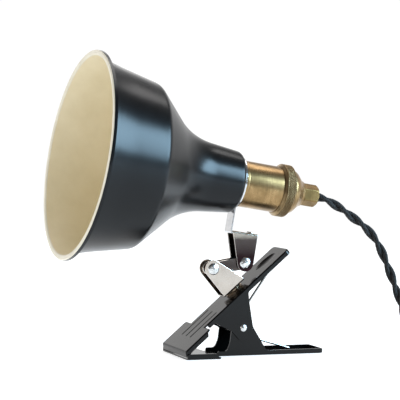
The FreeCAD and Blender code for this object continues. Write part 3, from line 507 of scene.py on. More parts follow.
class LAMP_OT_stage(bpy.types.Operator):
    """Adds the pale floor, the soft studio light and the camera"""
    bl_idname = "lamp.stage"
    bl_label = "Add stage"

    def execute(self, context):
        settings = context.scene.lamp_stage
        context.scene.view_settings.view_transform = "Standard"
        context.scene.view_settings.look = "None"
        half = settings.floor_size / 2
        t = np.linspace(-half, half, 9)
        x, y = np.meshgrid(t, t, indexing="ij")
        floor = surface("stage_floor", np.stack([x, y, 0 * x], axis=-1), materials=[floor_paint()])
        world = bpy.data.worlds.new("studio")
        context.scene.world = world
        world.use_nodes = True
        nodes, links = world.node_tree.nodes, world.node_tree.links
        background = nodes["Background"]
        coords = add_node(nodes, "ShaderNodeTexCoord")
        split = add_node(nodes, "ShaderNodeSeparateXYZ")
        links.new(coords.outputs["Generated"], split.inputs["Vector"])
        height = to_range(nodes, links, split.outputs["Z"], 0.0, 1.0, 0.0, 1.0)
        dome = ramp(nodes, links, height, [(0.0, (255, 255, 255)), (0.32, (255, 255, 255)), (0.55, (150, 149, 148)),
                                           (1.0, (160, 159, 158))])
        side = to_range(nodes, links, split.outputs["Y"], 0.26, 1.0, -0.45, 0.25)
        links.new(multiply(nodes, links, dome, side), background.inputs["Color"])
        background.inputs["Strength"].default_value = 1.02
        self.softbox(context, "key", (1.15, -0.84, 0.64), (0.8, 0.8), settings.key, (0.5, 0.78, 1.0))
        self.softbox(context, "fill", (-1.45, -0.2, 0.42), (0.8, 0.8), 5.4, (1.0, 0.97, 0.93))
        self.softbox(context, "back", (0.05, 1.5, 0.78), (1.3, 0.7), 1.6, (1.0, 0.99, 0.97))
        self.softbox(context, "top", (0.3, 0.35, 1.5), (1.2, 1.2), 14.0, (1.0, 0.98, 0.96))
        self.camera(context, settings.focal)
        return {"FINISHED"}

    def softbox(self, context, name, place, size, power, colour):
        """Rectangular area light that faces the middle of the lamp."""
        light = bpy.data.lights.new(name, "AREA")
        light.shape, light.size, light.size_y = "RECTANGLE", size[0], size[1]
        light.energy, light.color = power, colour
        lamp = bpy.data.objects.new(name, light)
        lamp.location = place
        lamp.matrix_world = looking(place, np.array(place) - LAMP_MIDDLE)
        context.scene.collection.objects.link(lamp)

    def camera(self, context, focal):
        """Camera a little above the table, in front of the clip's near side."""
        camera = bpy.data.cameras.new("camera")
        camera.sensor_fit, camera.sensor_width, camera.lens = "HORIZONTAL", 36.0, focal
        camera.clip_start, camera.clip_end = 0.05, 60.0
        holder = bpy.data.objects.new("camera", camera)
        context.scene.collection.objects.link(holder)
        holder.matrix_world = looking(CAMERA_PLACE, CAMERA_BACK, CAMERA_UP)
        context.scene.camera = holder


def looking(place, back, up=(0.0, 0.0, 1.0)):
    """Placement whose Z runs along back and whose Y is as near to up as it can be."""
    back = unit(back)
    right = unit(np.cross(up, back))
    matrix = np.eye(4)
    matrix[:3] = np.stack([right, np.cross(back, right), back, place], axis=1)
    return Matrix(matrix.tolist())


def floor_paint():
    """Matt white floor with a faint grain and a little light of its own, so that it stays pale far out."""
    material, nodes, links, shader = new_material("floor_paint")
    vector = object_coords(nodes, links)
    cloud = noise(nodes, links, vector, 8.0, 3.0)
    links.new(ramp(nodes, links, cloud, [(0.3, (190, 190, 190)), (0.7, (196, 196, 196))]), shader.inputs["Base Color"])
    shader.inputs["Roughness"].default_value = 0.75
    shader.inputs["Specular IOR Level"].default_value = 0.2
    shader.inputs["Emission Color"].default_value = (1, 1, 1, 1)
    shader.inputs["Emission Strength"].default_value = 0.72
    bump(nodes, links, shader, noise(nodes, links, vector, 300.0, 2.0), 0.05, 0.0005)
    return material


# ---- cord ----
CORD_ROUTE = [(62.8, 0, 132.65), (75.6, 0, 130.72), (89.8, 0, 124.2), (113.5, 0, 108.8),
              (124.2, 0, 99.9), (131.9, -1.5, 88.4), (137.3, -5.5, 73.0), (141.3, -14.0, 55.0),
              (142.3, -26.0, 37.5), (139.8, -39.5, 21.5), (135.0, -53.5, 9.8), (131.7, -67.0, 4.0)]
CORD_TAIL = [(21.6, 40.7, 11.3), (7.0, 46.2, 12.8), (-10.0, 40.6, 15.6),
             (-25.3, 27.1, 16.6), (-34.6, 9.2, 16.6), (-35.6, -10.9, 16.6), (-26.9, -28.8, 16.9),
             (-12.5, -38.2, 19.8), (2.0, -38.6, 19.8)]
COIL_CENTRE = (176.0, -66.0)
COIL_RADIUS = 38.0
CORD_DIAMETER = 6.3
CORD_STEP = 0.0011


def coil_points():
    """Control points of the coil, 15 to a turn: three turns inwards on the floor, then three outwards on top."""
    turned = np.array([0, 300, 360, 660, 720, 960, 1020, 1260, 1320, 1620, 1680, 2028], float)
    turn = np.array([1, 1, 0, 0, -1, -1, -1, -1, 0, 0, 1, 1])
    radius = COIL_RADIUS + turn * CORD_DIAMETER
    height = np.array([4.05] * 6 + [10.2] * 5 + [10.5])
    points = []
    for angle in np.arange(24, 2029, 24):
        # the spline runs inside its control points, by 0.978 of their radius
        r = np.interp(angle, turned, radius) / 0.978
        z = np.interp(angle, turned, height)
        around = math.radians(180 + angle)
        points.append((COIL_CENTRE[0] + r * math.cos(around), COIL_CENTRE[1] + r * math.sin(around), z))
    return points


def cord_points():
    """Every control point of the cord in metres: the hung part, the coil's turns and the tail to the plug."""
    tail = [(x + COIL_CENTRE[0], y + COIL_CENTRE[1], z) for x, y, z in CORD_TAIL]
    return np.array(CORD_ROUTE + coil_points() + tail) * MM


def nurbs_points(points, resolution=12):
    """Points along the NURBS spline that has these control points."""
    curve = bpy.data.curves.new("route", "CURVE")
    curve.dimensions = "3D"
    curve.resolution_u = resolution
    spline = curve.splines.new("NURBS")
    spline.points.add(len(points) - 1)
    spline.points.foreach_set("co", np.hstack([points, np.ones((len(points), 1))]).astype(np.float32).ravel())
    spline.order_u = 3
    spline.use_endpoint_u = True
    holder = bpy.data.objects.new("route", curve)
    bpy.context.scene.collection.objects.link(holder)
    bpy.context.view_layer.update()
    mesh = bpy.data.meshes.new_from_object(holder)
    line = np.empty(len(mesh.vertices) * 3, np.float32)
    mesh.vertices.foreach_get("co", line)
    bpy.data.objects.remove(holder)
    bpy.data.curves.remove(curve)
    bpy.data.meshes.remove(mesh)
    return line.reshape(-1, 3).astype(float)


def even(line, step):
    """The same line at equal steps."""
    run = np.concatenate([[0], np.cumsum(np.linalg.norm(np.diff(line, axis=0), axis=1))])
    at = np.linspace(0, run[-1], int(run[-1] / step) + 1)
    return np.stack([np.interp(at, run, line[:, k]) for k in range(3)], axis=1), at


def steady_frames(line):
    """Two unit normals at every point that turn no more than the line does (double reflection)."""
    ahead = directions(line)
    first = np.empty_like(line)
    first[0] = unit(np.cross(ahead[0], ACROSS))
    for k in range(len(line) - 1):
        v = line[k + 1] - line[k]
        c = v @ v
        r = first[k] - 2 / c * (v @ first[k]) * v
        t = ahead[k] - 2 / c * (v @ ahead[k]) * v
        w = ahead[k + 1] - t
        d = w @ w
        first[k + 1] = r - (2 / d * (w @ r) * w if d > 1e-18 else 0)
    return first, np.cross(ahead, first)


class LAMP_OT_cord(bpy.types.Operator):
    """Adds the twisted pair with its coil, tie and plug"""
    bl_idname = "lamp.cord"
    bl_label = "Add cord"

    def execute(self, context):
        settings = context.scene.lamp_cord
        route = cord_points()
        line, run = even(nurbs_points(route), CORD_STEP)
        cord = self.twisted_pair(line, run, settings)
        tie = self.tie()
        plug, blades = self.plug(line)
        for piece, nodes, finish in ((cord, ("cord_tube", "cord_coil", "cord_tail"), "cord_cloth"),
                                     (tie, ("coil_tie",), "tie_plastic"), (plug, ("plug_body",), "plug_plastic"),
                                     (blades, ("plug_blades",), "plain_brass")):
            place(piece, "head", finish, *nodes)
        return {"FINISHED"}

    def twisted_pair(self, line, run, settings):
        """Two tubes round the line: centre = line + offset (cos, sin) of twist, wall = centre + radius (cos, sin)."""
        radius = settings.strand / 2
        first, second = steady_frames(line)
        around = circle(10)
        yarn, braid = display(settings.cloth), 0.0042
        cloth = braided_cloth("braided_cotton", yarn, yarn - (31, 30, 30), float(run[-1] / braid), 4.0)
        points, faces, uvs = [], [], []
        twist = 2 * math.pi * run / settings.pitch - 1.1
        squeeze = 0.97
        for core in (0, 1):
            turn = twist + core * math.pi
            out = np.cos(turn)[:, None] * first + np.sin(turn)[:, None] * second
            centre = line + squeeze * radius * out
            ahead = directions(centre)
            side = square_to(out, ahead)
            wall = tube(centre, side, np.cross(ahead, side), radius, around)
            ends = [centre[None, [k]].repeat(len(around), 1) for k in (0, -1)]
            wall = np.concatenate([ends[0], wall, ends[1]])
            quads, uv = grid_faces(wall.shape[0], wall.shape[1], False, True)
            faces.append(quads + sum(len(p) for p in points))
            points.append(wall.reshape(-1, 3))
            uvs.append(uv)
        # the two cores press into each other but share no point, so merging doubles only closes their ends
        return add_mesh("cord_pair", np.concatenate(points), np.concatenate(faces), np.concatenate(uvs), [cloth])

    def tie(self):
        """Band round the coil: two rounded rectangles, one inside the other, carried across the band's width."""
        low, high = (np.array(p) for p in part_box("coil_tie"))
        angle = math.radians(35)
        out = np.array([math.cos(angle), math.sin(angle), 0.0])
        middle = MM * (np.array([*COIL_CENTRE, 0.0]) + COIL_RADIUS * out)
        beside = np.array([-math.sin(angle), math.cos(angle), 0.0])
        base, top = low[2] / MM, high[2] / MM
        reach, thick, corner = 10.3, 0.5, 2.9

        def outline(inset):
            """Rounded rectangle that lies inside the band's outer one by the inset."""
            x, low_z, high_z = reach - inset, base + inset, top - inset
            return rounded([(-x, low_z), (x, low_z), (x, high_z), (-x, high_z)], [corner - inset] * 4, closed=True)

        outer, inner = outline(0.0), outline(thick)
        # the band's two edges are a fifth thinner on each face than its flat between them
        edges = ((-3.5, 0.2), (-3.3, 0.0), (3.3, 0.0), (3.5, 0.2))
        rings = [(outer + (inner - outer) * t, y) for y, t in edges]
        rings += [(inner + (outer - inner) * t, y) for y, t in edges[::-1]]
        grid = np.array([middle + MM * (ring[:, :1] * out + y * beside) + MM * ring[:, 1:] * np.array([0, 0, 1.0])
                         for ring, y in rings])
        return surface("coil_tie_band", grid, True, True,
                       [moulded_plastic("tie_plastic", (38, 38, 40), (24, 24, 26), 0.5)])

    def plug(self, line):
        """Plug along the cord's end: a rounded rectangle whose half width, half height and corner change along it."""
        end = line[-1]
        ahead = unit((end - line[-12]) * [1, 1, 0])
        beside = np.array([-ahead[1], ahead[0], 0.0])
        up = np.array([0, 0, 1.0])
        # (along, half width, half height, power of the outline)
        rows = [(0.0, 0, 0, 2), (0.0, 3.3, 3.3, 2), (0.5, 3.65, 3.65, 2)]
        for start in (3.0, 6.0, 9.0):
            wide = 3.65 + start * 0.11
            rows += [(start - 0.05, wide, wide, 2), (start, 4.0, 4.0, 2), (start + 1.2, 4.0, 4.0, 2),
                     (start + 1.25, wide + 0.1, wide + 0.1, 2)]
        rows += [(12.4, 5.1, 5.1, 2), (13.0, 5.3, 5.2, 2.2), (13.15, 6.6, 5.4, 2.5), (14.2, 8.2, 6.1, 3.2),
                 (15.6, 9.0, 6.5, 4.2), (22.0, 8.8, 6.2, 4.4), (30.0, 8.8, 6.2, 4.4), (36.6, 9.0, 6.5, 5.0),
                 (37.6, 8.8, 6.3, 5.0), (38.0, 8.2, 5.7, 5.0), (38.0, 0, 0, 5)]
        rows = np.array(rows)
        angle = circle(48)
        power = 2 / rows[:, 3:4]
        across = np.sign(np.cos(angle)) * np.abs(np.cos(angle)) ** power * rows[:, 1:2]
        height = np.sign(np.sin(angle)) * np.abs(np.sin(angle)) ** power * rows[:, 2:3]
        grid = end + MM * (rows[:, :1, None] * ahead + across[..., None] * beside + height[..., None] * up)
        body = surface("plug", grid, False, True, [moulded_plastic("plug_plastic", (34, 34, 36), (22, 22, 24), 0.42)])
        brass = brushed_metal("blade_brass", (214, 186, 128), (176, 146, 92), 0.25, (300, 300, 2500))
        points, faces = [], []
        root, tip, wide, half_thick = 32.2, 55.0, 3.15, 0.75
        hole_at, hole_radius, apart = 50.5, 1.5, 6.35
        outline = rounded([(root, -wide), (tip, -wide), (tip, wide), (root, wide)], [0.05, 1.0, 1.0, 0.05], closed=True)
        # the outline and the hole share their angles about the hole, so that quads join them
        angles = np.arctan2(outline[:, 1], outline[:, 0] - hole_at)
        ring = np.stack([hole_at + hole_radius * np.cos(angles), hole_radius * np.sin(angles)], axis=1)
        narrow, edge = outline * [1, 0.94], 0.15
        for side in (-apart, apart):
            near, far = side - half_thick, side + half_thick
            rows = [(narrow, near), (outline, near + edge), (outline, far - edge), (narrow, far), (ring, far),
                    (ring, near)]
            grid = np.array([end + MM * (loop[:, :1] * ahead + y * beside + loop[:, 1:] * up) for loop, y in rows])
            quads, _ = grid_faces(grid.shape[0], grid.shape[1], True, True)
            faces.append(quads + sum(len(p) for p in points))
            points.append(grid.reshape(-1, 3))
        blades = add_mesh("plug_pins", np.concatenate(points), np.concatenate(faces), None, [brass])
        return body, blades


# ---- shade ----
class LAMP_OT_shade(bpy.types.Operator):
    """Adds the spun shade, black outside and cream inside"""
    bl_idname = "lamp.shade"
    bl_label = "Add shade"

    def execute(self, context):
        settings = context.scene.lamp_shade
        wall = settings.wall / MM
        half = wall / 2
        rim_radius, length, step = 85.0, 139.0, 2.2
        path = rounded([(3.2, rim_radius - half), (half, rim_radius - half), (half, 81.6 - half), (14.0, 76.65 - half),
                        (53.7, 68.15 - half), (91.1, 30.9 - half), (length - half, 25.4 - half), (length - half, 17.0)],
                       [0.9, 1.5, 160.0, 8.0, 57.0, 4.6], step=step)
        path = self.denser(path, step)
        left, right = strip_sides(path, wall)
        loop = np.concatenate([left, right[::-1]])
        outside, inside = display(settings.outside), display(settings.inside)
        black = enamel("black_enamel", outside, outside - 3, 0.25, (0.96, 0.98, 1.0), 0.25, 0.006, 260.0)
        cream = enamel("cream_enamel", inside, inside - (7, 8, 10), 0.45, (1, 1, 1), 0.45, 0.03, 320.0)
        white = enamel("rim_enamel", (226, 220, 202), (214, 207, 188), 0.35, (1, 1, 1), 0.5, 0.03, 320.0)
        count = len(left)
        # cream inside, a paler lip in front of the rolled rim, and black from the roll's edge outwards
        s, r = right[::-1].T
        inner = np.ones(count, int)
        inner[(s < 1.6) & (r > 80.4) & (r < 84.9)] = 2
        inner[(s < 3.4) & (r >= 84.85)] = 0
        index = np.concatenate([np.zeros(count - 1, int), [1], inner])
        shade = revolve_head("shade_spun", loop, settings.facets, True, [black, cream, white], index, 50.0)
        place(shade, "head", "shade_metal", "shade")
        return {"FINISHED"}

    def denser(self, line, longest):
        """The same polyline with its long runs divided, so that the shape shades evenly."""
        out = [line[:1]]
        for a, b in zip(line[:-1], line[1:]):
            steps = max(1, int(np.linalg.norm(b - a) / longest))
            t = np.linspace(0, 1, steps + 1)[1:, None]
            out.append(a + (b - a) * t)
        return np.concatenate(out)


# ---- lamp holder ----
class LAMP_OT_holder(bpy.types.Operator):
    """Adds the brass holder: barrel, knurled ring, cap and cord grip, and the parts inside it"""
    bl_idname = "lamp.holder"
    bl_label = "Add lamp holder"

    def execute(self, context):
        settings = context.scene.lamp_holder
        brass = lathe_brass("aged_brass", (164, 134, 94), (134, 108, 72), (94, 76, 54), 0.27)
        dark = lathe_brass("grip_brass", (140, 114, 74), (116, 93, 58), (84, 68, 44), 0.36)
        self.barrel(brass)
        self.ring(settings)
        self.cap(brass)
        self.grip(dark)
        self.thread(settings)
        edge = context.scene.lamp_clip.edge
        paint("porcelain_insert", glazed_porcelain(), edge)
        for node, *metal in (
                ("centre_contact", "leaf_brass", (222, 190, 124), (190, 158, 98), 0.22, (200, 2400, 200)),
                ("terminal_screws", "screw_brass", (216, 186, 124), (180, 150, 96), 0.26, (1200, 1200, 1200)),
                ("grip_nut", "nut_steel", (200, 202, 206), (160, 162, 168), 0.28, (900, 900, 900)),
                ("shade_nut", "clamp_brass", (206, 176, 118), (168, 138, 88), 0.28, (900, 900, 900))):
            paint(node, brushed_metal(*metal), edge)
        return {"FINISHED"}

    def barrel(self, brass):
        """Barrel as a closed profile turned round the axis, with a rolled front edge and a faint step at its bead."""
        profile = rounded([(131.7, 15.8), (131.7, 16.8), (140.25, 16.8), (140.25, 19.3), (143.4, 19.3), (143.9, 19.12),
                           (144.4, 19.3), (179.4, 19.3), (179.4, 18.4), (141.25, 18.4), (141.25, 15.8)],
                          [0.2, 0.2, 0.1, 1.1, 0.5, 0.3, 0.5, 0.3, 0.2, 0.2, 0.1], closed=True)
        piece = revolve_head("holder_barrel", profile, 128, True, [brass])
        place(piece, "head", "aged_brass", "socket_shell")

    def ring(self, settings):
        """Knurled ring with plain shoulders: radius = profile - depth g, with g the larger of two crossed grooves.

        A groove is 1 - |sin(n a / 2 + k s)| ** 0.9, and k has the other sign in the other one."""
        count = settings.knurls
        depth = settings.knurl_depth / MM
        front_s, back_s, crest = 177.7, 184.9, 22.1
        angle = circle(count * 6)
        back = [(186.2, 19.35), (186.2, 19.95), (185.8, 20.25), (185.2, 21.4), (185.0, 21.9)]
        knurled = [(s, crest) for s in np.linspace(184.8, 177.8, 37)]
        front = [(177.6, 21.9), (177.3, 21.4), (176.9, 20.4), (175.4, 19.95), (175.4, 19.35)]
        profile = np.array(front[::-1] + knurled[::-1] + back[::-1])
        s = profile[:, :1]
        fade = np.clip((s - front_s) / 0.5, 0, 1) * np.clip((back_s - s) / 0.5, 0, 1)
        pitch = 2 * math.pi * crest / count
        phase = math.pi * s / pitch
        a = count * angle[None, :] / 2
        cut = 1 - np.abs(np.sin(a + phase)) ** 0.9
        other = 1 - np.abs(np.sin(a - phase)) ** 0.9
        groove = fade * np.maximum(cut, other)
        points = head(s, profile[:, 1:] - depth * groove, angle[None, :])
        knurled_brass = lathe_brass("knurled_brass", (166, 144, 110), (134, 113, 82), (96, 80, 58), 0.3, True)
        piece = surface("holder_ring", points, True, True, [knurled_brass], sharp=80.0, groove=groove)
        place(piece, "head", "aged_brass", "knurled_ring")

    def cap(self, brass):
        """Domed cap: a strip's two sides as one closed profile, with a flat end round the grip's spigot."""
        line = rounded([(179.6, 18.8), (187.2, 18.8), (190.5, 17.0), (196.2, 11.2), (198.6, 10.1)],
                       [1.5, 4.5, 2.0], 5.0)
        outer, inner = strip_sides(line, 1.0)
        profile = np.concatenate([outer, [(198.6, 9.6), (198.6, 5.2), (197.1, 5.2), (197.1, 9.8)], inner[-3::-1]])
        piece = revolve_head("holder_cap", profile, 128, True, [brass])
        place(piece, "head", "aged_brass", "socket_cap")

    def grip(self, dark):
        """Hexagonal grip round a bore: radius = the smaller of the rounded hexagon's and the chamfer cone's."""
        columns, flat_radius, corner_radius, spigot = 192, 8.3, 9.4, 6.0
        angle = circle(columns)
        flat = (angle + math.pi / 2 + math.pi / 6) % (math.pi / 3) - math.pi / 6
        hexagon = np.minimum(flat_radius / np.cos(flat), corner_radius)
        s = np.array([192.2, 198.7, 198.7, 198.75, 199.1, 199.5, 200.7, 210.7, 212.0, 212.6, 213.1, 213.2])
        cone = np.array([5.1, 5.1, 7.9, 8.4, 8.9, 9.4, 9.6, 9.6, 9.6, 8.9, 8.1, 7.8])
        radius = np.where(cone[:, None] < spigot, cone[:, None], np.minimum(cone[:, None], hexagon[None]))
        bore_s = np.array([213.2, 211.7, 192.2])
        bore = np.array([4.6, 3.6, 3.6])
        points = np.concatenate([head(s[:, None], radius, angle[None]),
                                 head(bore_s[:, None], bore[:, None], angle[None])])
        piece = surface("holder_grip", points, True, True, [dark], sharp=30.0)
        place(piece, "head", "grip_brass", "cord_grip")

    def thread(self, settings):
        """Screw shell: radius = mean + ripple cos(angle - 2 pi s / pitch), with the wall outside that."""
        pitch = settings.threads / MM
        front, back, mean, wall, runout = 143.5, 163.0, 13.46, 0.18, 1.5
        angle = circle(96)[None]
        s = np.linspace(front, back, 90)[:, None]
        fade = np.clip((s - front) / runout, 0, 1) * np.clip((back - s) / runout, 0, 1)
        radius = mean + 0.16 * fade * np.cos(angle - 2 * math.pi * s / pitch)
        points = np.concatenate([head(s, radius, angle), head(s[::-1], radius[::-1] + wall, angle)])
        shell = brushed_metal("shell_brass", (224, 194, 130), (196, 164, 104), 0.2, (300, 300, 300))
        piece = surface("holder_thread", points, True, True, [shell], sharp=60.0)
        place(piece, "head", "plain_brass", "screw_shell")


def lathe_brass(name, light, dark, patina, rough, knurled=False):
    """Old brass turned on a lathe: fine lines round the lamp's axis, cloudy patina, small dark spots and, on the
    knurled ring, painted shade in the grooves.
    """
    material, nodes, links, shader = new_material(name)
    dip = math.atan2(-BACK[2], BACK[0])
    plain = object_coords(nodes, links)
    lined = object_coords(nodes, links, (2600, 30, 30), turn=(0, -dip, 0))
    lines = noise(nodes, links, lined, 1.0, 4.0, 0.65)
    cloud = noise(nodes, links, plain, 75.0, 6.0, 0.62)
    spots = noise(nodes, links, plain, 620.0, 3.0, 0.5)
    mixed = blend(nodes, links, cloud, lines, 0.35)
    base = ramp(nodes, links, mixed, [(0.3, patina), (0.45, dark), (0.62, light)])
    dots = ramp(nodes, links, spots, [(0.2, (120, 104, 84)), (0.3, (255, 255, 255))])
    colour = multiply(nodes, links, base, dots, 0.75)
    if knurled:
        cut = add_node(nodes, "ShaderNodeAttribute", attribute_name="groove")
        # the knurl's grooves are darkened: painted shade
        depth = ramp(nodes, links, cut.outputs["Fac"], [(0.15, (255, 252, 246)), (0.75, (92, 76, 58))])
        colour = multiply(nodes, links, colour, depth, 0.9)
    links.new(colour, shader.inputs["Base Color"])
    shader.inputs["Metallic"].default_value = 1.0
    links.new(to_range(nodes, links, mixed, rough + 0.1, rough - 0.04), shader.inputs["Roughness"])
    first = bump(nodes, links, shader, lines, 0.12, 0.0002)
    bump(nodes, links, shader, cloud, 0.08, 0.0006, first)
    return material


# ---- knuckle ----
def paint(node, material, edge, edge_highlight=None):
    """Gives a CAD node its finish and a fine rounded edge; where a second finish is given, the edge is in it, a lighter
    finish that paints a highlight along the edge.
    """
    piece = NODES[node]
    piece.data.materials.clear()
    piece.data.materials.append(material)
    if edge_highlight is not None:
        piece.data.materials.append(edge_highlight)
    if edge > 0:
        weld = piece.modifiers.new("weld", "WELD")
        weld.merge_threshold = 1e-6
        flat = piece.modifiers.new("flat", "DECIMATE")
        flat.decimate_type = "DISSOLVE"
        flat.angle_limit = math.radians(1.0)
        soft = piece.modifiers.new("edge", "BEVEL")
        soft.width, soft.segments, soft.limit_method = edge, 2, "ANGLE"
        soft.angle_limit = math.radians(40)
        soft.use_clamp_overlap = True
        # -1 leaves the edge in the finish of its faces; 1 puts it in the second finish, the painted edge highlight
        soft.material = 1 if edge_highlight is not None else -1
        normals = piece.modifiers.new("normals", "WEIGHTED_NORMAL")
        normals.keep_sharp = True


class LAMP_OT_knuckle(bpy.types.Operator):
    """Finishes the brackets, link, strap, washers and rivets of the knuckle"""
    bl_idname = "lamp.knuckle"
    bl_label = "Finish knuckle"

    def execute(self, context):
        edge = context.scene.lamp_clip.edge
        # one nickel plating in three painted lights: the upper bracket has painted shade low down and a painted
        # reflection along its top, the lower bracket a pale painted reflection, the link a darker painted shade
        upper_shade_and_reflection = [(0.0, (44, 28, 30)), (0.35, (40, 28, 29)), (0.76, (88, 79, 76)), (0.86, (176, 166, 154)),
                  (1.0, (212, 201, 189))]
        pale = [(0.0, (176, 162, 150)), (0.5, (192, 178, 166)), (1.0, (184, 170, 158))]
        brown = [(0.0, (96, 86, 80)), (0.5, (68, 60, 57)), (1.0, (88, 80, 76))]
        plating = {}
        for node, name, stops, rough in (("upper_bracket", "nickel_painted_shade_and_reflection", upper_shade_and_reflection, 0.16),
                                         ("lower_bracket", "nickel_painted_reflection", pale, 0.14),
                                         ("link", "nickel_painted_shade", brown, 0.16)):
            low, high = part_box(node)
            plating[node] = height_shaded_metal(name, stops, low[2], high[2], rough)
        chrome = brushed_metal("bright_chrome", (218, 218, 219), (196, 197, 200), 0.13, (60, 60, 1500), spread=0.05)
        # a paler metal for the bevelled edges of the knuckle's parts: a painted highlight along each edge
        edge_glint = brushed_metal("painted_edge_glint", (244, 238, 230), (214, 206, 198), 0.16, (300, 300, 300), spread=0.05)
        for node, material in plating.items():
            paint(node, material, edge * 2.2, edge_glint)
        paint("strap_bracket", chrome, edge * 1.2, edge_glint)
        washer = brushed_metal("washer_steel", (150, 132, 112), (96, 82, 70), 0.2, (300, 300, 300), spread=0.04)
        for node in ("swivel_washer", "bracket_washer", "spring_washer", "lower_hinge_washers", "upper_hinge_washers",
                     "lower_hinge_spacer", "upper_hinge_spacer"):
            paint(node, washer, 0.0)
        rivet = hammered_steel()
        self.hinge_rivet("lower_rivet", LOW, "lower_hinge_rivet", "lower_bracket", rivet)
        self.hinge_rivet("upper_rivet", HIGH, "upper_hinge_rivet", "head", rivet)
        for node in ("swivel_rivet", "strap_rivet"):
            paint(node, rivet, 0.0)
        return {"FINISHED"}

    def hinge_rivet(self, name, at, node, body, material):
        """Rivet through a hinge: height against radius, with a low domed head at each end."""
        dome = [(8.75, 0.0), (8.72, 0.5), (8.6, 1.2), (8.42, 2.4), (8.12, 3.4), (7.72, 4.2), (7.35, 4.7), (7.05, 4.9)]
        right = dome + [(7.0, 2.0)]
        profile = right + [(-x, r) for x, r in right[::-1]]
        piece = revolve_line(name, profile, at, ACROSS, 64, [material])
        place(piece, body, "bright_steel", node)


def hammered_steel():
    """Bright steel closed with a hammer: shallow rounded dents over a fine polish."""
    material, nodes, links, shader = new_material("hammered_steel")
    vector = object_coords(nodes, links)
    cloud = noise(nodes, links, vector, 240.0, 3.0)
    links.new(ramp(nodes, links, cloud, [(0.3, (188, 186, 184)), (0.65, (232, 231, 229))]), shader.inputs["Base Color"])
    shader.inputs["Metallic"].default_value = 1.0
    links.new(to_range(nodes, links, cloud, 0.16, 0.28), shader.inputs["Roughness"])
    dents = add_node(nodes, "ShaderNodeTexVoronoi", feature="SMOOTH_F1")
    dents.inputs["Scale"].default_value = 520.0
    dents.inputs["Smoothness"].default_value = 0.6
    links.new(vector, dents.inputs["Vector"])
    bump(nodes, links, shader, dents.outputs["Distance"], 0.5, 0.0006)
    return material


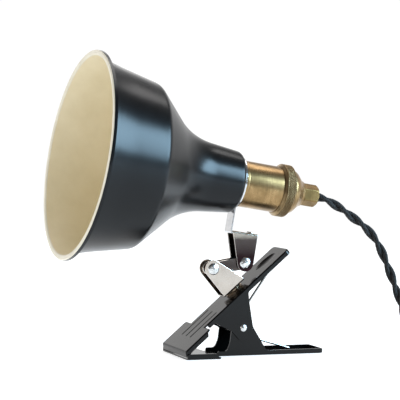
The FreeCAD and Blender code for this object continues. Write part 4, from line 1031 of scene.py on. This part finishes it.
# ---- clip ----
class LAMP_OT_clip(bpy.types.Operator):
    """Finishes the two jaws and adds the pin and the sprung wire"""
    bl_idname = "lamp.clip"
    bl_label = "Finish clip"

    def execute(self, context):
        settings = context.scene.lamp_clip
        black = enamel("clip_enamel", (9, 9, 9), (6, 6, 6), 0.12, (1.0, 0.97, 0.95), 0.24, 0.03, 240.0)
        # a lighter black for the jaws' rounded edges: a painted highlight along each edge
        edge_highlight = enamel("clip_painted_edge_highlight", (34, 34, 35), (22, 22, 23), 0.16, (1, 1, 1), 0.5, 0.02, 240.0)
        for node in ("upper_jaw", "lower_jaw"):
            paint(node, black, settings.edge * 1.5, edge_highlight)
        self.pin(hammered_steel())
        self.spring(settings)
        return {"FINISHED"}

    def pin(self, material):
        """Pivot pin with a low dome at each end."""
        head_profile = [(16.75, 0.0), (16.72, 0.6), (16.5, 1.6), (16.2, 2.3), (15.8, 2.8), (15.45, 3.0), (15.45, 2.0)]
        profile = head_profile + [(-x, r) for x, r in head_profile[::-1]]
        piece = revolve_line("clip_pin", profile, PIN, ACROSS, 48, [material])
        place(piece, "lower_jaw", "bright_steel", "pivot_pin")

    def spring(self, settings):
        """Wire along a line, a leg, close turns about the pin and a leg: wall = line + radius (cos, sin)."""
        wire = settings.spring_wire / 2
        mean, plate_lift, pin_height, sheet, gap = 0.0058, 0.0239, 0.0232, 0.0012, 0.00015
        turns = settings.spring_turns
        slope = -math.atan2(SWIVEL[0], SWIVEL[2])
        rise = math.radians(14.6)
        upper_slope = slope + rise
        lower_slope = math.radians(15.9)
        half = (turns - 1) * wire
        # each leg ends where its wire rests under the upper plate, or on the lower one
        upper_reach = (plate_lift - sheet - wire - gap - mean * math.cos(rise)) / math.sin(rise)
        lower_reach = (pin_height - sheet - wire - gap - mean * math.cos(lower_slope)) / math.sin(lower_slope)
        # angle round the pin from straight up towards -X; the near end leaves the top, the far end the bottom
        start = upper_slope
        end = start + 2 * math.pi * (turns - 1) + ((math.pi - lower_slope) - start) % (2 * math.pi)
        angle = np.linspace(start, end, int((end - start) / math.radians(9)))
        along = -half + 2 * half * (angle - start) / (end - start)
        coil = np.stack([-mean * np.sin(angle), along, mean * np.cos(angle)], axis=1)
        first = np.array([math.cos(upper_slope), 0, math.sin(upper_slope)])
        last = np.array([math.cos(lower_slope), 0, -math.sin(lower_slope)])
        t = np.linspace(1, 0.04, 18)[:, None]
        upper = coil[0] + first * upper_reach * t
        lower = coil[-1] + last * lower_reach * t[::-1]
        line = PIN + np.concatenate([upper, coil, lower])
        ahead = directions(line)
        side = square_to(np.broadcast_to(ACROSS, line.shape), ahead)
        other = np.cross(ahead, side)
        around = circle(14)
        wall, inset = (tube(line, side, other, radius, around) for radius in (wire, 0.8 * wire))
        # the cut ends are chamfered, and closed at their middle
        wall = np.concatenate([line[:1, None].repeat(14, 1), inset[:1], wall[1:-1], inset[-1:],
                               line[-1:, None].repeat(14, 1)])
        material = brushed_metal("spring_nickel", (206, 205, 202), (150, 148, 146), 0.2, (1500, 1500, 1500),
                                 bump_strength=0.1)
        piece = surface("clip_wire", wall, False, True, [material], sharp=40.0)
        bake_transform(piece)
        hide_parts("clip_spring")


class LAMP_PT_panel(bpy.types.Panel):
    """Panel that lists the lamp's pieces and their settings"""
    bl_idname = "LAMP_PT_panel"
    bl_label = "Clip On Lamp"
    bl_space_type = "VIEW_3D"
    bl_region_type = "UI"
    bl_category = "Lamp"

    def draw(self, context):
        layout = self.layout
        for name, group, fields in GROUPS:
            box = layout.box()
            box.operator(name)
            for field in fields:
                box.prop(getattr(context.scene, group), field)


GROUPS = (
    ("lamp.stage", "lamp_stage", ("focal", "key", "floor_size")),
    ("lamp.cord", "lamp_cord", ("strand", "pitch", "cloth")),
    ("lamp.shade", "lamp_shade", ("outside", "inside", "wall", "facets")),
    ("lamp.holder", "lamp_holder", ("knurls", "knurl_depth", "threads")),
    ("lamp.knuckle", "lamp_clip", ("edge",)),
    ("lamp.clip", "lamp_clip", ("spring_turns", "spring_wire")),
)
SETTINGS = {"lamp_shade": LampShadeSettings, "lamp_holder": LampHolderSettings, "lamp_clip": LampClipSettings,
            "lamp_cord": LampCordSettings, "lamp_stage": LampStageSettings}
CLASSES = (*SETTINGS.values(), LAMP_OT_stage, LAMP_OT_cord, LAMP_OT_shade, LAMP_OT_holder, LAMP_OT_knuckle,
           LAMP_OT_clip, LAMP_PT_panel)


def register():
    for made in CLASSES:
        bpy.utils.register_class(made)
    for name, group in SETTINGS.items():
        setattr(bpy.types.Scene, name, bpy.props.PointerProperty(type=group))


def unregister():
    for name in SETTINGS:
        delattr(bpy.types.Scene, name)
    for made in reversed(CLASSES):
        bpy.utils.unregister_class(made)


def main():
    register()
    bpy.ops.lamp.stage()
    bpy.ops.lamp.cord()
    bpy.ops.lamp.shade()
    bpy.ops.lamp.holder()
    bpy.ops.lamp.knuckle()
    bpy.ops.lamp.clip()
    bpy.context.view_layer.update()


if __name__ == "__main__":
    main()
